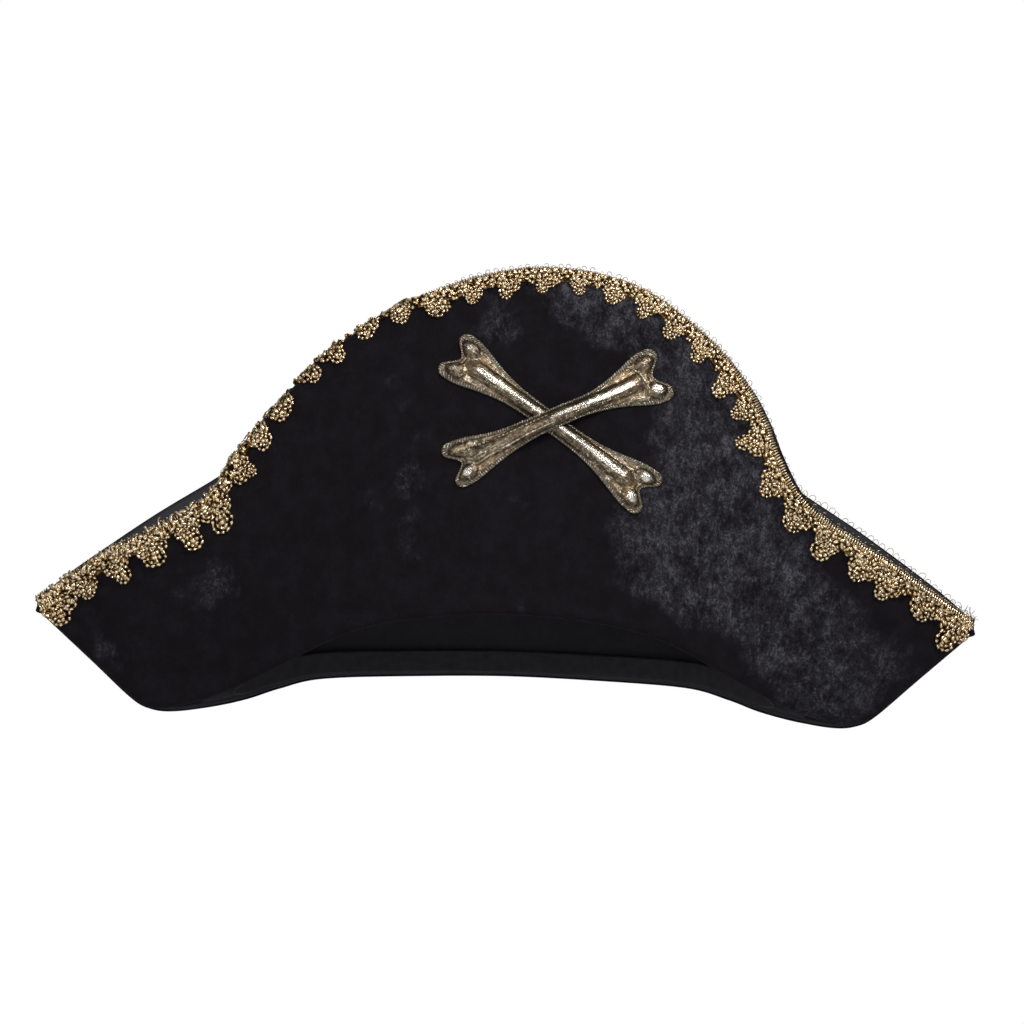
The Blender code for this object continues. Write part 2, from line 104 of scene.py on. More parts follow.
world = bpy.data.worlds.new("white_studio")
world.use_nodes = True
nodes, links = world.node_tree.nodes, world.node_tree.links
nodes.clear()
seen, lighting = nodes.new("ShaderNodeBackground"), nodes.new("ShaderNodeBackground")
seen.inputs["Color"].default_value = (1, 1, 1, 1)
lighting.inputs["Color"].default_value = (0.93, 0.96, 1, 1)
lighting.inputs["Strength"].default_value = 0.22
mix, ray, out = (nodes.new(f"ShaderNode{kind}") for kind in ("MixShader", "LightPath", "OutputWorld"))
links.new(ray.outputs["Is Camera Ray"], mix.inputs["Fac"])
links.new(lighting.outputs[0], mix.inputs[1])
links.new(seen.outputs[0], mix.inputs[2])
links.new(mix.outputs[0], out.inputs["Surface"])
bpy.context.scene.world = world

FLOOR_HALF = 6.0
floor_mesh = bpy.data.meshes.new("floor")
floor_corners = [(x, y, FLOOR_Z) for x, y in ((-1, -1), (1, -1), (1, 1), (-1, 1))]
floor_mesh.from_pydata([(x * FLOOR_HALF, y * FLOOR_HALF, z) for x, y, z in floor_corners], [], [(0, 1, 2, 3)])
floor = bpy.data.objects.new("floor", floor_mesh)
bpy.context.scene.collection.objects.link(floor)
floor_paint = bpy.data.materials.new("pale_floor")
floor_paint.use_nodes = True
nodes, links = floor_paint.node_tree.nodes, floor_paint.node_tree.links
floor_shader, clear = nodes["Principled BSDF"], nodes.new("ShaderNodeBsdfTransparent")
floor_shader.inputs["Base Color"].default_value = (0.6, 0.6, 0.6, 1)
floor_shader.inputs["Roughness"].default_value = 0.8
pale = nodes.new("ShaderNodeEmission")
pale.inputs["Color"].default_value = (0.86, 0.86, 0.86, 1)
ray, face = nodes.new("ShaderNodeLightPath"), nodes.new("ShaderNodeNewGeometry")
by_ray, by_face = nodes.new("ShaderNodeMixShader"), nodes.new("ShaderNodeMixShader")
links.new(ray.outputs["Is Camera Ray"], by_ray.inputs["Fac"])
links.new(floor_shader.outputs[0], by_ray.inputs[1])
links.new(pale.outputs[0], by_ray.inputs[2])
links.new(face.outputs["Backfacing"], by_face.inputs["Fac"])
links.new(by_ray.outputs[0], by_face.inputs[1])
links.new(clear.outputs[0], by_face.inputs[2])
links.new(by_face.outputs[0], nodes["Material Output"].inputs["Surface"])
floor_mesh.materials.append(floor_paint)

# ---------------------------------------------------------------------------------------------------------
# The brim's pattern. Each panel is cut to an outline that rises from the tips to a crown and is hollowed
# along the brow, and is sewn to the other panel down the short sides, so that the two bow apart between them.
(velvet_low, velvet_high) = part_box("front_brim_velvet")
TIP_HALF_SPAN = velvet_high[0]
TIP_Z, TIP_EDGE = 0.007, 0.005
CORNER_HALF_SPAN, CORNER_Z, CORNER_ROUND = 0.159, -0.0435, 0.010
FRONT_PEAK, BACK_PEAK = (0.020, 0.1545), (0.0, 0.150)
FRONT_EDGE_Z, BACK_EDGE_Z = 0.0, -0.018
FRONT_LEFT_EDGE = (
    (0.12, 0.12), (0.24, 0.21), (0.345, 0.31), (0.395, 0.43),
    (0.47, 0.575), (0.56, 0.73), (0.70, 0.875), (0.85, 0.97),
)
FRONT_RIGHT_EDGE = (
    (0.18, 0.135), (0.35, 0.26), (0.425, 0.345), (0.475, 0.46),
    (0.51, 0.57), (0.56, 0.68), (0.65, 0.81), (0.81, 0.95),
)
BACK_SIDE_EDGE = (
    (0.08, 0.11), (0.24, 0.295), (0.375, 0.435), (0.45, 0.53),
    (0.55, 0.675), (0.67, 0.835), (0.82, 0.96),
)
FRONT_ARCH = ((0.24, 0.05), (0.44, 0.20), (0.635, 0.53), (0.79, 0.78))
BACK_ARCH = ((0.30, 0.07), (0.53, 0.20), (0.65, 0.43), (0.74, 0.66), (0.85, 0.86))
OPENING_HALF_WIDTH, OPENING_HALF_DEPTH = 0.136, 0.050
TOP_HALF_DEPTH, BELLY, FRONT_FLANK_LEAN = 0.046, 0.005, 0.007
SEAM_GAP = 0.00015
PANEL_THICKNESS = 0.0051


def smooth_curve(points, steps=24):
    """Dense points on a Catmull-Rom curve through the given points: cubic spans whose slopes are half the
    difference between the points on either side."""
    p = np.asarray(points, float)
    p = np.vstack([2 * p[0] - p[1], p, 2 * p[-1] - p[-2]])
    t = np.linspace(0, 1, steps, endpoint=False)[:, None]
    spans = [
        0.5 * (2 * b + (c - a) * t + (2 * a - 5 * b + 4 * c - d) * t**2 + (3 * b - a - 3 * c + d) * t**3)
        for a, b, c, d in zip(p, p[1:], p[2:], p[3:])
    ]
    return np.vstack([*spans, p[-2]])


def at_share(curve, share):
    """The points at these shares of a dense curve's length, by linear interpolation along it."""
    length = np.concatenate([[0], np.cumsum(np.linalg.norm(np.diff(curve, axis=0), axis=1))])
    wanted = np.clip(share, 0, 1) * length[-1]
    return np.stack([np.interp(wanted, length, curve[:, k]) for k in range(curve.shape[1])], axis=-1)


def lattice_noise(x, y, size, seed):
    """Smooth noise from -1 to 1: random values on a square lattice of this size, eased together between
    lattice points with 3f^2 - 2f^3."""
    values = np.random.default_rng(seed).uniform(-1, 1, (64, 64))
    gx, gy = x / size, y / size
    ix, iy = np.floor(gx).astype(int), np.floor(gy).astype(int)
    fx, fy = gx - ix, gy - iy
    fx, fy = fx * fx * (3 - 2 * fx), fy * fy * (3 - 2 * fy)
    near = values[ix % 64, iy % 64] * (1 - fx) + values[(ix + 1) % 64, iy % 64] * fx
    far = values[ix % 64, (iy + 1) % 64] * (1 - fx) + values[(ix + 1) % 64, (iy + 1) % 64] * fx
    return near * (1 - fy) + far * fy


class Brim:
    """One panel as a surface over shares s, from the left tip to the right, and t, from bottom to top."""

    def __init__(self, side, peak, left_edge, right_edge, arch, edge_z, lean, seed):
        self.side, self.arch, self.edge_z, self.lean, self.seed = side, arch, edge_z, lean, seed
        rising, falling = self.top_points(-1, peak, left_edge), self.top_points(1, peak, right_edge)
        self.top = smooth_curve(rising + falling[-2::-1])
        half = self.bottom_points()
        self.bottom = smooth_curve(half + [(-x, z) for x, z in half[-2::-1]])
        self.top_length = np.linalg.norm(np.diff(self.top, axis=0), axis=1).sum()

    def top_points(self, hand, peak, edge):
        """The edge's points from a tip to the peak, given as shares of the way across and up."""
        tip = (hand * TIP_HALF_SPAN, TIP_Z)
        shares = ((0, 0), *edge, (1, 1))
        return [(tip[0] + u * (peak[0] - tip[0]), tip[1] + v * (peak[1] - tip[1])) for u, v in shares]

    def bottom_points(self):
        """From the left tip down the side seam, round the corner and along the arch to its middle."""
        tip = np.array([-TIP_HALF_SPAN, TIP_Z - TIP_EDGE])
        corner = np.array([-CORNER_HALF_SPAN, CORNER_Z])
        drop = CORNER_Z - self.edge_z
        arch = [(-u * CORNER_HALF_SPAN, self.edge_z + v * drop) for u, v in reversed(self.arch)]
        up = (tip - corner) / np.linalg.norm(tip - corner)
        inwards = (np.array(arch[0]) - corner) / np.linalg.norm(np.array(arch[0]) - corner)
        rounding = [
            corner + up * CORNER_ROUND,
            corner + (up + inwards) * CORNER_ROUND * 0.29,
            corner + inwards * CORNER_ROUND,
        ]
        points = [tip, (tip + corner) / 2, *rounding, *arch, (0, self.edge_z)]
        return [tuple(float(c) for c in p) for p in points]

    def outline_point(self, s, t):
        """(x, z): a straight line from the lower edge at share s to the upper edge at share s."""
        low, high = at_share(self.bottom, s), at_share(self.top, s)
        return low + (high - low) * t[..., None]

    def depth(self, s, t):
        """Distance from the seam plane: a bow of 1 - x^2 over the head opening at the bottom, 1 - x^2.2 from tip
        to tip at the top, a straight blend between them, and a slight belly."""
        low, high = at_share(self.bottom, s), at_share(self.top, s)
        q = 1 - (low[..., 0] / OPENING_HALF_WIDTH) ** 2
        eased = 0.5 * (q + np.sqrt(q**2 + 0.004))
        fade = np.clip((s - 0.09) / 0.05, 0, 1) * np.clip((0.91 - s) / 0.05, 0, 1)
        below = OPENING_HALF_DEPTH * eased * fade * fade * (3 - 2 * fade)
        reach = np.clip(np.abs(high[..., 0]) / TIP_HALF_SPAN, 0, 1)
        flank = np.exp(-(((reach - 0.72) / 0.16) ** 2))
        above = TOP_HALF_DEPTH * (1 - reach**2.2) + self.lean * flank
        middle = np.sin(np.pi * np.clip(s, 0, 1))
        return below + (above - below) * t + BELLY * middle * np.sin(np.pi * np.clip(t, 0, 1))

    def swell(self, s, t):
        """Soft waves of the laid-up cloth, in metres: broad lattice noise that fades out at the seams."""
        p = self.outline_point(s, t)
        broad = lattice_noise(p[..., 0] + 0.4, p[..., 1] + 0.4, 0.052, self.seed)
        small = lattice_noise(p[..., 0] + 0.4, p[..., 1] + 0.4, 0.021, self.seed + 1)
        fade = np.clip(np.minimum(s, 1 - s) / 0.10, 0, 1)
        low = np.clip(t / 0.15, 0, 1)
        return (0.0011 * broad + 0.0004 * small) * fade * (0.35 + 0.65 * low)

    def inner_face(self, s, t):
        flat = self.outline_point(s, t)
        y = self.side * (SEAM_GAP + self.depth(s, t) + self.swell(s, t))
        return np.stack([flat[..., 0], y, flat[..., 1]], axis=-1)

    def steepness(self, s, t):
        """How much thicker the panel is along Y than straight through: one over the normal's Y part."""
        h = 0.008
        along = self.inner_face(np.clip(s + h, 0, 1), t) - self.inner_face(np.clip(s - h, 0, 1), t)
        rise = self.inner_face(s, t + h) - self.inner_face(s, t - h)
        n = np.cross(along, rise)
        return np.linalg.norm(n, axis=-1) / np.maximum(np.abs(n[..., 1]), 0.6 * np.linalg.norm(n, axis=-1))

    def layer(self, s, t, out):
        """A point this far out of the inner face. It moves along Y, so that the seams stay in line."""
        p = self.inner_face(s, t)
        p[..., 1] += self.side * out * self.steepness(s, t)
        return p

    def locate(self, x, z, s, t):
        """The (s, t) whose outline point is (x, z), by Newton steps from a first guess."""
        h = 1e-4
        for _ in range(9):
            here = self.outline_point(s, t)
            ds = (self.outline_point(s + h, t) - here) / h
            dt = (self.outline_point(s, t + h) - here) / h
            miss_x, miss_z = x - here[..., 0], z - here[..., 1]
            area = ds[..., 0] * dt[..., 1] - ds[..., 1] * dt[..., 0]
            area = np.where(np.abs(area) < 1e-6, 1e-6, area)
            s = np.clip(s + np.clip((miss_x * dt[..., 1] - miss_z * dt[..., 0]) / area, -0.05, 0.05), 0.001, 0.998)
            t = np.clip(t + np.clip((ds[..., 0] * miss_z - ds[..., 1] * miss_x) / area, -0.2, 0.2), -0.2, 1.3)
        return s, t


front = Brim(-1, FRONT_PEAK, FRONT_LEFT_EDGE, FRONT_RIGHT_EDGE, FRONT_ARCH, FRONT_EDGE_Z, FRONT_FLANK_LEAN, 11)
back = Brim(1, BACK_PEAK, BACK_SIDE_EDGE, BACK_SIDE_EDGE, BACK_ARCH, BACK_EDGE_Z, 0.0, 31)


def put_mesh(name, points, faces, material, uv=None, smooth=True):
    """An object from arrays of points and of faces (four corners each), with an optional UV for every point."""
    mesh = bpy.data.meshes.new(name)
    points, faces = np.asarray(points, float).reshape(-1, 3), np.asarray(faces).reshape(-1, 4)
    mesh.from_pydata(points, [], faces.tolist())
    if uv is not None:
        layer = mesh.uv_layers.new(name="cloth")
        corners = np.empty(len(mesh.loops), np.int32)
        mesh.loops.foreach_get("vertex_index", corners)
        layer.data.foreach_set("uv", np.asarray(uv, float).reshape(-1, 2)[corners].ravel())
    mesh.polygons.foreach_set("use_smooth", np.full(len(mesh.polygons), smooth))
    mesh.materials.append(material)
    mesh.update()
    obj = bpy.data.objects.new(name, mesh)
    bpy.context.scene.collection.objects.link(obj)
    return obj


def grid_faces(rows, columns, start=0, close=False):
    """Four corners for every cell of a rows by columns grid of points, the last column joined to the first one
    if close is set."""
    index = start + np.arange(rows * columns).reshape(rows, columns)
    after = np.roll(index, -1, axis=1) if close else index[:, 1:]
    here = index if close else index[:, :-1]
    return np.stack([here[:-1], after[:-1], after[1:], here[1:]], axis=-1).reshape(-1, 4)


def shell(name, outer, inner, material, uv=None):
    """A closed sheet from two grids of the same size: both faces, and a strip round the border. The faces are
    turned outwards by the sign of the volume."""
    rows, columns = outer.shape[:2]
    count = rows * columns
    border = np.concatenate([
        np.arange(columns),
        np.arange(1, rows) * columns + columns - 1,
        (rows - 1) * columns + np.arange(columns - 2, -1, -1),
        np.arange(rows - 2, 0, -1) * columns,
    ])
    ahead = np.roll(border, -1)
    faces = np.vstack([
        grid_faces(rows, columns),
        grid_faces(rows, columns, count)[:, ::-1],
        np.stack([border, border + count, ahead + count, ahead], axis=-1),
    ])
    points = np.vstack([outer.reshape(-1, 3), inner.reshape(-1, 3)])
    a, b, c, d = (points[faces[:, k]] for k in range(4))
    if (np.cross(b - a, c - a) * a + np.cross(c - a, d - a) * a).sum() < 0:
        faces = faces[:, ::-1]
    both = None if uv is None else np.vstack([uv.reshape(-1, 2), uv.reshape(-1, 2)])
    return put_mesh(name, points, faces, material, both)


EDGE_RADIUS = 0.0026
EDGE_INSET = 0.0023
EDGE_STEPS = 5


def edged_panel(brim, columns, rows, radius, thickness, first, last, crush=0.0):
    """Two grids, the seen face and the one under it, of a skin that covers one face of a panel and rolls round
    its edges. The middle of each grid lies on the face. The outer rows and columns turn round a circle of
    this radius whose middle is inset from the outline, from angle first at the very edge to last on the face.
    """
    turn = np.linspace(first, last, EDGE_STEPS + 1)[:-1]
    flat = np.full(columns - 2 * EDGE_STEPS, last)
    angle_s = np.concatenate([turn, flat, turn[::-1]])
    flat = np.full(rows - 2 * EDGE_STEPS, last)
    angle_t = np.concatenate([turn, flat, turn[::-1]])
    hand_s = np.concatenate([-np.ones(EDGE_STEPS), np.zeros(columns - 2 * EDGE_STEPS), np.ones(EDGE_STEPS)])
    hand_t = np.concatenate([-np.ones(EDGE_STEPS), np.zeros(rows - 2 * EDGE_STEPS), np.ones(EDGE_STEPS)])
    share_s = np.concatenate([np.zeros(EDGE_STEPS), np.linspace(0, 1, columns - 2 * EDGE_STEPS), np.ones(EDGE_STEPS)])
    share_t = np.concatenate([np.zeros(EDGE_STEPS), np.linspace(0, 1, rows - 2 * EDGE_STEPS), np.ones(EDGE_STEPS)])
    u, v = np.meshgrid(share_s, share_t)
    lower = np.linalg.norm(np.diff(brim.bottom, axis=0), axis=1).sum()
    ends = EDGE_INSET / lower
    s = ends + (1 - 2 * ends) * u
    height = np.linalg.norm(at_share(brim.top, s) - at_share(brim.bottom, s), axis=-1)
    margin = np.minimum(EDGE_INSET / height, 0.4)
    t = margin + (1 - 2 * margin) * v
    middle = brim.layer(s, t, PANEL_THICKNESS / 2)
    steep = brim.steepness(s, t)
    h = 2e-3
    along = brim.inner_face(np.clip(s + h, 0, 1), t) - brim.inner_face(np.clip(s - h, 0, 1), t)
    along /= np.linalg.norm(along, axis=-1, keepdims=True)
    rise = brim.inner_face(s, t + h) - brim.inner_face(s, t - h)
    rise -= (rise * along).sum(-1, keepdims=True) * along
    rise /= np.linalg.norm(rise, axis=-1, keepdims=True)
    across = np.stack([rise[..., 2], 0 * u, -rise[..., 0]], axis=-1)
    across /= np.linalg.norm(across, axis=-1, keepdims=True)
    out_s, out_t = (hand_s * np.cos(angle_s))[None, :, None], (hand_t * np.cos(angle_t))[:, None, None]
    pick = np.abs(angle_s[None, :] - last) > np.abs(angle_t[:, None] - last)
    stand = np.sin(np.where(pick, angle_s[None, :] + 0 * u, angle_t[:, None] + 0 * u)) * steep * brim.side
    seen, under = (
        middle + r * (out_s * across + out_t * rise) + np.stack([0 * u, r * stand, 0 * u], axis=-1)
        for r in (radius, radius - thickness)
    )
    if crush:
        rough = lattice_noise(middle[..., 0] + 0.3, middle[..., 2] + 0.3, 0.0065, brim.seed + 5)
        rough += 0.6 * lattice_noise(middle[..., 0] + 0.3, middle[..., 2] + 0.3, 0.0034, brim.seed + 6)
        seen[..., 1] += brim.side * crush * rough
    return seen, under


# ---------------------------------------------------------------------------------------------------------
# Shader groups that several cloths share: a speckle of fibres, and a woven over-and-under pattern.
def new_group(name, inputs, outputs):
    """An empty shader group with float inputs {name: default} and outputs {name: socket type}."""
    group = bpy.data.node_groups.new(name, "ShaderNodeTree")
    for socket, value in inputs.items():
        kind = "NodeSocketVector" if value is None else "NodeSocketFloat"
        made = group.interface.new_socket(socket, in_out="INPUT", socket_type=kind)
        if value is not None:
            made.default_value = value
    for socket, kind in outputs.items():
        group.interface.new_socket(socket, in_out="OUTPUT", socket_type=kind)
    return group, group.nodes.new("NodeGroupInput"), group.nodes.new("NodeGroupOutput")


def math_node(tree, operation, a, b=None, clamp=False):
    """A Math node fed by sockets or numbers."""
    node = tree.nodes.new("ShaderNodeMath")
    node.operation, node.use_clamp = operation, clamp
    for socket, value in zip(node.inputs, (a, b)):
        if hasattr(value, "links"):
            tree.links.new(value, socket)
        elif value is not None:
            socket.default_value = value
    return node.outputs[0]


def noise_node(tree, where, scale, detail=3.0, roughness=0.5, distortion=0.0):
    node = tree.nodes.new("ShaderNodeTexNoise")
    tree.links.new(where, node.inputs["Vector"])
    for socket, value in (("Scale", scale), ("Detail", detail), ("Roughness", roughness), ("Distortion", distortion)):
        if hasattr(value, "links"):
            tree.links.new(value, node.inputs[socket])
        else:
            node.inputs[socket].default_value = value
    return node.outputs["Fac"]


def ramp_node(tree, value, stops):
    """A colour ramp from (position, colour) stops, where a colour may be one number for grey."""
    node = tree.nodes.new("ShaderNodeValToRGB")
    tree.links.new(value, node.inputs["Fac"])
    ramp = node.color_ramp
    while len(ramp.elements) < len(stops):
        ramp.elements.new(0.5)
    for element, (position, colour) in zip(ramp.elements, stops):
        element.position = position
        element.color = (*colour, 1) if hasattr(colour, "__len__") else (colour, colour, colour, 1)
    return node.outputs["Color"]


def mix_colour(tree, share, a, b, kind="MIX"):
    node = tree.nodes.new("ShaderNodeMix")
    node.data_type, node.blend_type = "RGBA", kind
    for socket, value in ((node.inputs[0], share), (node.inputs[6], a), (node.inputs[7], b)):
        if hasattr(value, "links"):
            tree.links.new(value, socket)
        else:
            socket.default_value = (*value, 1) if hasattr(value, "__len__") else value
    return node.outputs[2]


def new_material(name, **settings):
    """A Principled material with these socket values. Returns it with its tree, shader and coordinates node."""
    material = bpy.data.materials.new(name)
    material.use_nodes = True
    tree = material.node_tree
    shader = tree.nodes["Principled BSDF"]
    for socket, value in settings.items():
        shader.inputs[socket.replace("_", " ")].default_value = value
    coordinates = tree.nodes.new("ShaderNodeTexCoord")
    return material, tree, shader, coordinates


def add_bump(tree, shader, height, strength, distance):
    bump = tree.nodes.new("ShaderNodeBump")
    bump.inputs["Strength"].default_value = strength
    bump.inputs["Distance"].default_value = distance
    tree.links.new(height, bump.inputs["Height"])
    tree.links.new(bump.outputs["Normal"], shader.inputs["Normal"])


weave_group, group_in, group_out = new_group(
    "weave", {"Vector": None, "Threads": 900.0}, {"Height": "NodeSocketFloat", "Thread": "NodeSocketFloat"}
)
split = weave_group.nodes.new("ShaderNodeSeparateXYZ")
weave_group.links.new(group_in.outputs["Vector"], split.inputs[0])
warp = math_node(weave_group, "SINE", math_node(weave_group, "MULTIPLY", split.outputs[0], group_in.outputs["Threads"]))
weft = math_node(weave_group, "SINE", math_node(weave_group, "MULTIPLY", split.outputs[2], group_in.outputs["Threads"]))
over = math_node(weave_group, "MULTIPLY", warp, weft)
weave_group.links.new(math_node(weave_group, "MULTIPLY_ADD", over, 0.5), group_out.inputs["Height"])
uneven = noise_node(weave_group, group_in.outputs["Vector"], 140.0, 2.0)
weave_group.links.new(uneven, group_out.inputs["Thread"])

# ---------------------------------------------------------------------------------------------------------
# Velvet. The panels are faced with black crushed velvet, a short pile that is pressed flat in patches. It is black
# where it leans one way, and where it leans the other a blue-grey sheen is painted into the colour, most where the
# light falls.
VELVET_BLACK = (0.0074, 0.0060, 0.0076)
VELVET_DUSK = (0.0096, 0.0078, 0.0102)
VELVET_SHEEN_GREY = (0.092, 0.092, 0.110)
velvet, tree, shader, coordinates = new_material(
    "crushed_velvet", Roughness=0.95, Sheen_Weight=0.03, Sheen_Roughness=0.4, Sheen_Tint=(0.75, 0.78, 1.0, 1)
)
shader.inputs["Specular IOR Level"].default_value = 0.06
where = coordinates.outputs["Object"]
painted_sheen = tree.nodes.new("ShaderNodeAttribute")
painted_sheen.attribute_name = "painted_sheen"
stretched = tree.nodes.new("ShaderNodeMapping")
stretched.inputs["Rotation"].default_value = (0, math.radians(-38), 0)
stretched.inputs["Scale"].default_value = (1.0, 1.0, 0.55)
tree.links.new(where, stretched.inputs["Vector"])
broad = noise_node(tree, where, 34.0, 3.0, 0.6)
clump = noise_node(tree, where, 110.0, 5.0, 0.66, 0.15)
crush = noise_node(tree, stretched.outputs[0], 470.0, 4.0, 0.85, 0.30)
fibre = noise_node(tree, where, 1050.0, 2.0, 0.7)
# Painted sheen: where the broad noise and the painted sheen band are high, the pressed patches take the lit blue-grey
# colour.
sheen_region = math_node(tree, "ADD", math_node(tree, "MULTIPLY", broad, 0.85), math_node(tree, "MULTIPLY", painted_sheen.outputs["Fac"], 0.5))
sheen_region = ramp_node(tree, sheen_region, ((0.54, 0.03), (0.66, 0.55), (0.86, 1.0)))
mottle = math_node(tree, "ADD", math_node(tree, "MULTIPLY", clump, 0.42), math_node(tree, "MULTIPLY", crush, 0.58))
mottle = ramp_node(tree, mottle, ((0.41, 0.0), (0.51, 0.30), (0.60, 1.0)))
sheen_patch = math_node(tree, "MULTIPLY", sheen_region, mottle)
shade = mix_colour(tree, ramp_node(tree, clump, ((0.40, 0.0), (0.62, 1.0))), VELVET_BLACK, VELVET_DUSK)
lit = mix_colour(tree, ramp_node(tree, fibre, ((0.36, 0.22), (0.64, 1.0))), VELVET_DUSK, VELVET_SHEEN_GREY)
tree.links.new(mix_colour(tree, sheen_patch, shade, lit), shader.inputs["Base Color"])
pile = math_node(tree, "ADD", fibre, math_node(tree, "MULTIPLY", crush, 1.8))
add_bump(tree, shader, pile, 0.5, 0.0010)

VELVET_COLUMNS, VELVET_ROWS, VELVET_PILE = 300, 110, 0.0009
VELVET_LAST, VELVET_FIRST = math.radians(90), math.radians(-38)
SHEEN_BAND_EDGE = 0.034
# Rows of (z, left, right) for the band of painted sheen down the right side.
SHEEN_BAND_ROWS = np.array((
    (-0.045, 0.132, 0.150), (-0.031, 0.127, 0.158), (-0.010, 0.103, 0.162), (0.013, 0.058, 0.150),
    (0.036, 0.052, 0.125), (0.058, 0.060, 0.118), (0.080, 0.064, 0.116), (0.102, 0.080, 0.112),
    (0.121, 0.040, 0.102), (0.134, 0.022, 0.088), (0.150, 0.010, 0.060),
))


def painted_sheen_share(x, z):
    """How much painted sheen lies at (x, z), where the light falls: one inside a band that runs from the crown down the
    right side, whose two edges are read from its rows of (z, left, right), zero outside it, and a straight ramp
    between. Round painted spots add to it."""
    left, right = (np.interp(z, SHEEN_BAND_ROWS[:, 0], SHEEN_BAND_ROWS[:, k]) for k in (1, 2))
    band = 0.5 + np.minimum(x - left, right - x) / SHEEN_BAND_EDGE
    spots = [how * (1.5 - np.hypot(x - a, (z - b) / 1.3) / r) for a, b, r, how in PAINTED_SHEEN_SPOTS]
    return np.clip(np.maximum.reduce([band, *spots]), 0, 1)


# Round spots of painted sheen: (x, z, radius, strength).
PAINTED_SHEEN_SPOTS = (
    (-0.179, -0.012, 0.011, 0.33), (-0.128, 0.013, 0.008, 0.29), (-0.045, 0.060, 0.007, 0.36), (-0.010, 0.128, 0.012, 0.36)
)
for word, brim in (("front", front), ("back", back)):
    seen, under = edged_panel(
        brim, VELVET_COLUMNS, VELVET_ROWS, EDGE_RADIUS, VELVET_PILE, VELVET_FIRST, VELVET_LAST, 0.00022
    )
    piece = shell(f"{word}_velvet", seen, under, velvet)
    # The painted sheen share goes on every point as an attribute that lightens the velvet's colour.
    share = painted_sheen_share(-brim.side * seen[..., 0], seen[..., 2]).ravel()
    painted_sheen_values = piece.data.attributes.new("painted_sheen", "FLOAT", "POINT")
    painted_sheen_values.data.foreach_set("value", np.concatenate([share, share]).astype(np.float32))
    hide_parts(f"{word}_brim_velvet")
    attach(piece, "root")

# ---------------------------------------------------------------------------------------------------------
# Lining. A thin smooth black cloth faces the inside of each panel and is sewn to the velvet round the edge.
lining, tree, shader, coordinates = new_material("smooth_lining", Roughness=0.7, Sheen_Weight=0.02)
weave = tree.nodes.new("ShaderNodeGroup")
weave.node_tree = weave_group
weave.inputs["Threads"].default_value = 7000.0
tree.links.new(coordinates.outputs["Object"], weave.inputs["Vector"])
tree.links.new(
    mix_colour(tree, weave.outputs["Thread"], (0.0040, 0.0042, 0.0078), (0.0092, 0.0096, 0.0155)), shader.inputs["Base Color"]
)
add_bump(tree, shader, weave.outputs["Height"], 0.25, 0.0002)
LINING_THICKNESS = 0.0005
for word, brim in (("front", front), ("back", back)):
    seen, under = edged_panel(
        brim, 180, 70, PANEL_THICKNESS / 2, LINING_THICKNESS, math.radians(-45), math.radians(-90)
    )
    piece = shell(f"{word}_lining", seen, under, lining)
    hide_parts(f"{word}_brim_lining")
    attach(piece, "root")

# The panels are sewn together down both sides, from the tips round the corners to the ends of the opening. The
# seam is a narrow strip that fills the space between the two linings just inside the edge.
SEAM_INSETS, SEAM_END, SEAM_BITE = (0.0010, 0.0020, 0.0030, 0.0042), 0.127, 0.0002
steps = np.linalg.norm(np.diff(front.bottom, axis=0), axis=1)
walked = np.concatenate([[0], np.cumsum(steps)]) / steps.sum()
last = walked[np.argmax(front.bottom[:, 0] > -SEAM_END)]
for word, from_s, to_s in (("left", 0.004, last), ("right", 0.996, 1 - last)):
    s, inset = np.meshgrid(np.linspace(from_s, to_s, 110), SEAM_INSETS)
    t = np.minimum(inset / np.linalg.norm(at_share(front.top, s) - at_share(front.bottom, s), axis=-1), 0.45)
    near = front.inner_face(s, t)
    far = near.copy()
    far[..., 1] = back.inner_face(*back.locate(near[..., 0], near[..., 2], s, t))[..., 1] + SEAM_BITE
    near[..., 1] -= SEAM_BITE
    seam = shell(f"{word}_side_seam", near, far, lining)
    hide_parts("back_brim_lining")
    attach(seam, "root")
for word in ("front", "back"):
    piece = bpy.data.objects[f"{word}_lining"]

# ---------------------------------------------------------------------------------------------------------
# Foam. A three-millimetre sheet of black foam between the velvet and the lining keeps each panel upright. It
# is cut smaller than the cloths, which close over its edge.
FOAM_FROM, FOAM_THICKNESS, FOAM_INSET = 0.0008, 0.0029, 0.0030
foam, tree, shader, coordinates = new_material("black_foam", Roughness=0.95)
cells = tree.nodes.new("ShaderNodeTexVoronoi")
cells.inputs["Scale"].default_value = 900.0
tree.links.new(coordinates.outputs["Object"], cells.inputs["Vector"])
tree.links.new(ramp_node(tree, cells.outputs["Distance"], ((0.1, 0.012), (0.7, 0.05))), shader.inputs["Base Color"])
add_bump(tree, shader, cells.outputs["Distance"], 0.5, 0.0005)
for word, brim in (("front", front), ("back", back)):
    s, v = np.meshgrid(np.linspace(0.007, 0.993, 150), np.linspace(0, 1, 44))
    height = np.linalg.norm(at_share(brim.top, s) - at_share(brim.bottom, s), axis=-1)
    margin = np.minimum(FOAM_INSET / height, 0.45)
    t = margin + (1 - 2 * margin) * v
    piece = shell(f"{word}_foam", brim.layer(s, t, FOAM_FROM + FOAM_THICKNESS), brim.layer(s, t, FOAM_FROM), foam)
    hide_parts(f"{word}_brim_foam")
    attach(piece, "root")

# ---------------------------------------------------------------------------------------------------------
# Cap. Two plain black walls and an oval tip close the hat over the head. The walls are sewn in just above the
# brow edge and lean in to the tip, whose seam shows as a small ridge.
CAP_WALL, CAP_CLEARANCE = 0.0012, 0.0010
CAP_FLARE, CAP_BITE = 0.0015, 0.0001
CAP_HALF_WIDTH = OPENING_HALF_WIDTH - 0.003
CAP_BOTTOM_ABOVE_EDGE, CAP_TOP_Z = 0.002, 0.096
TIP_OVAL_HALF_WIDTH, TIP_OVAL_HALF_DEPTH, TIP_OVAL_RISE = 0.092, 0.040, 0.009
CAP_LEAN, CAP_END_NARROWING = 1.3, 1.6
CAP_PUCKERS, CAP_PUCKER_DEPTH = 46, 0.00035

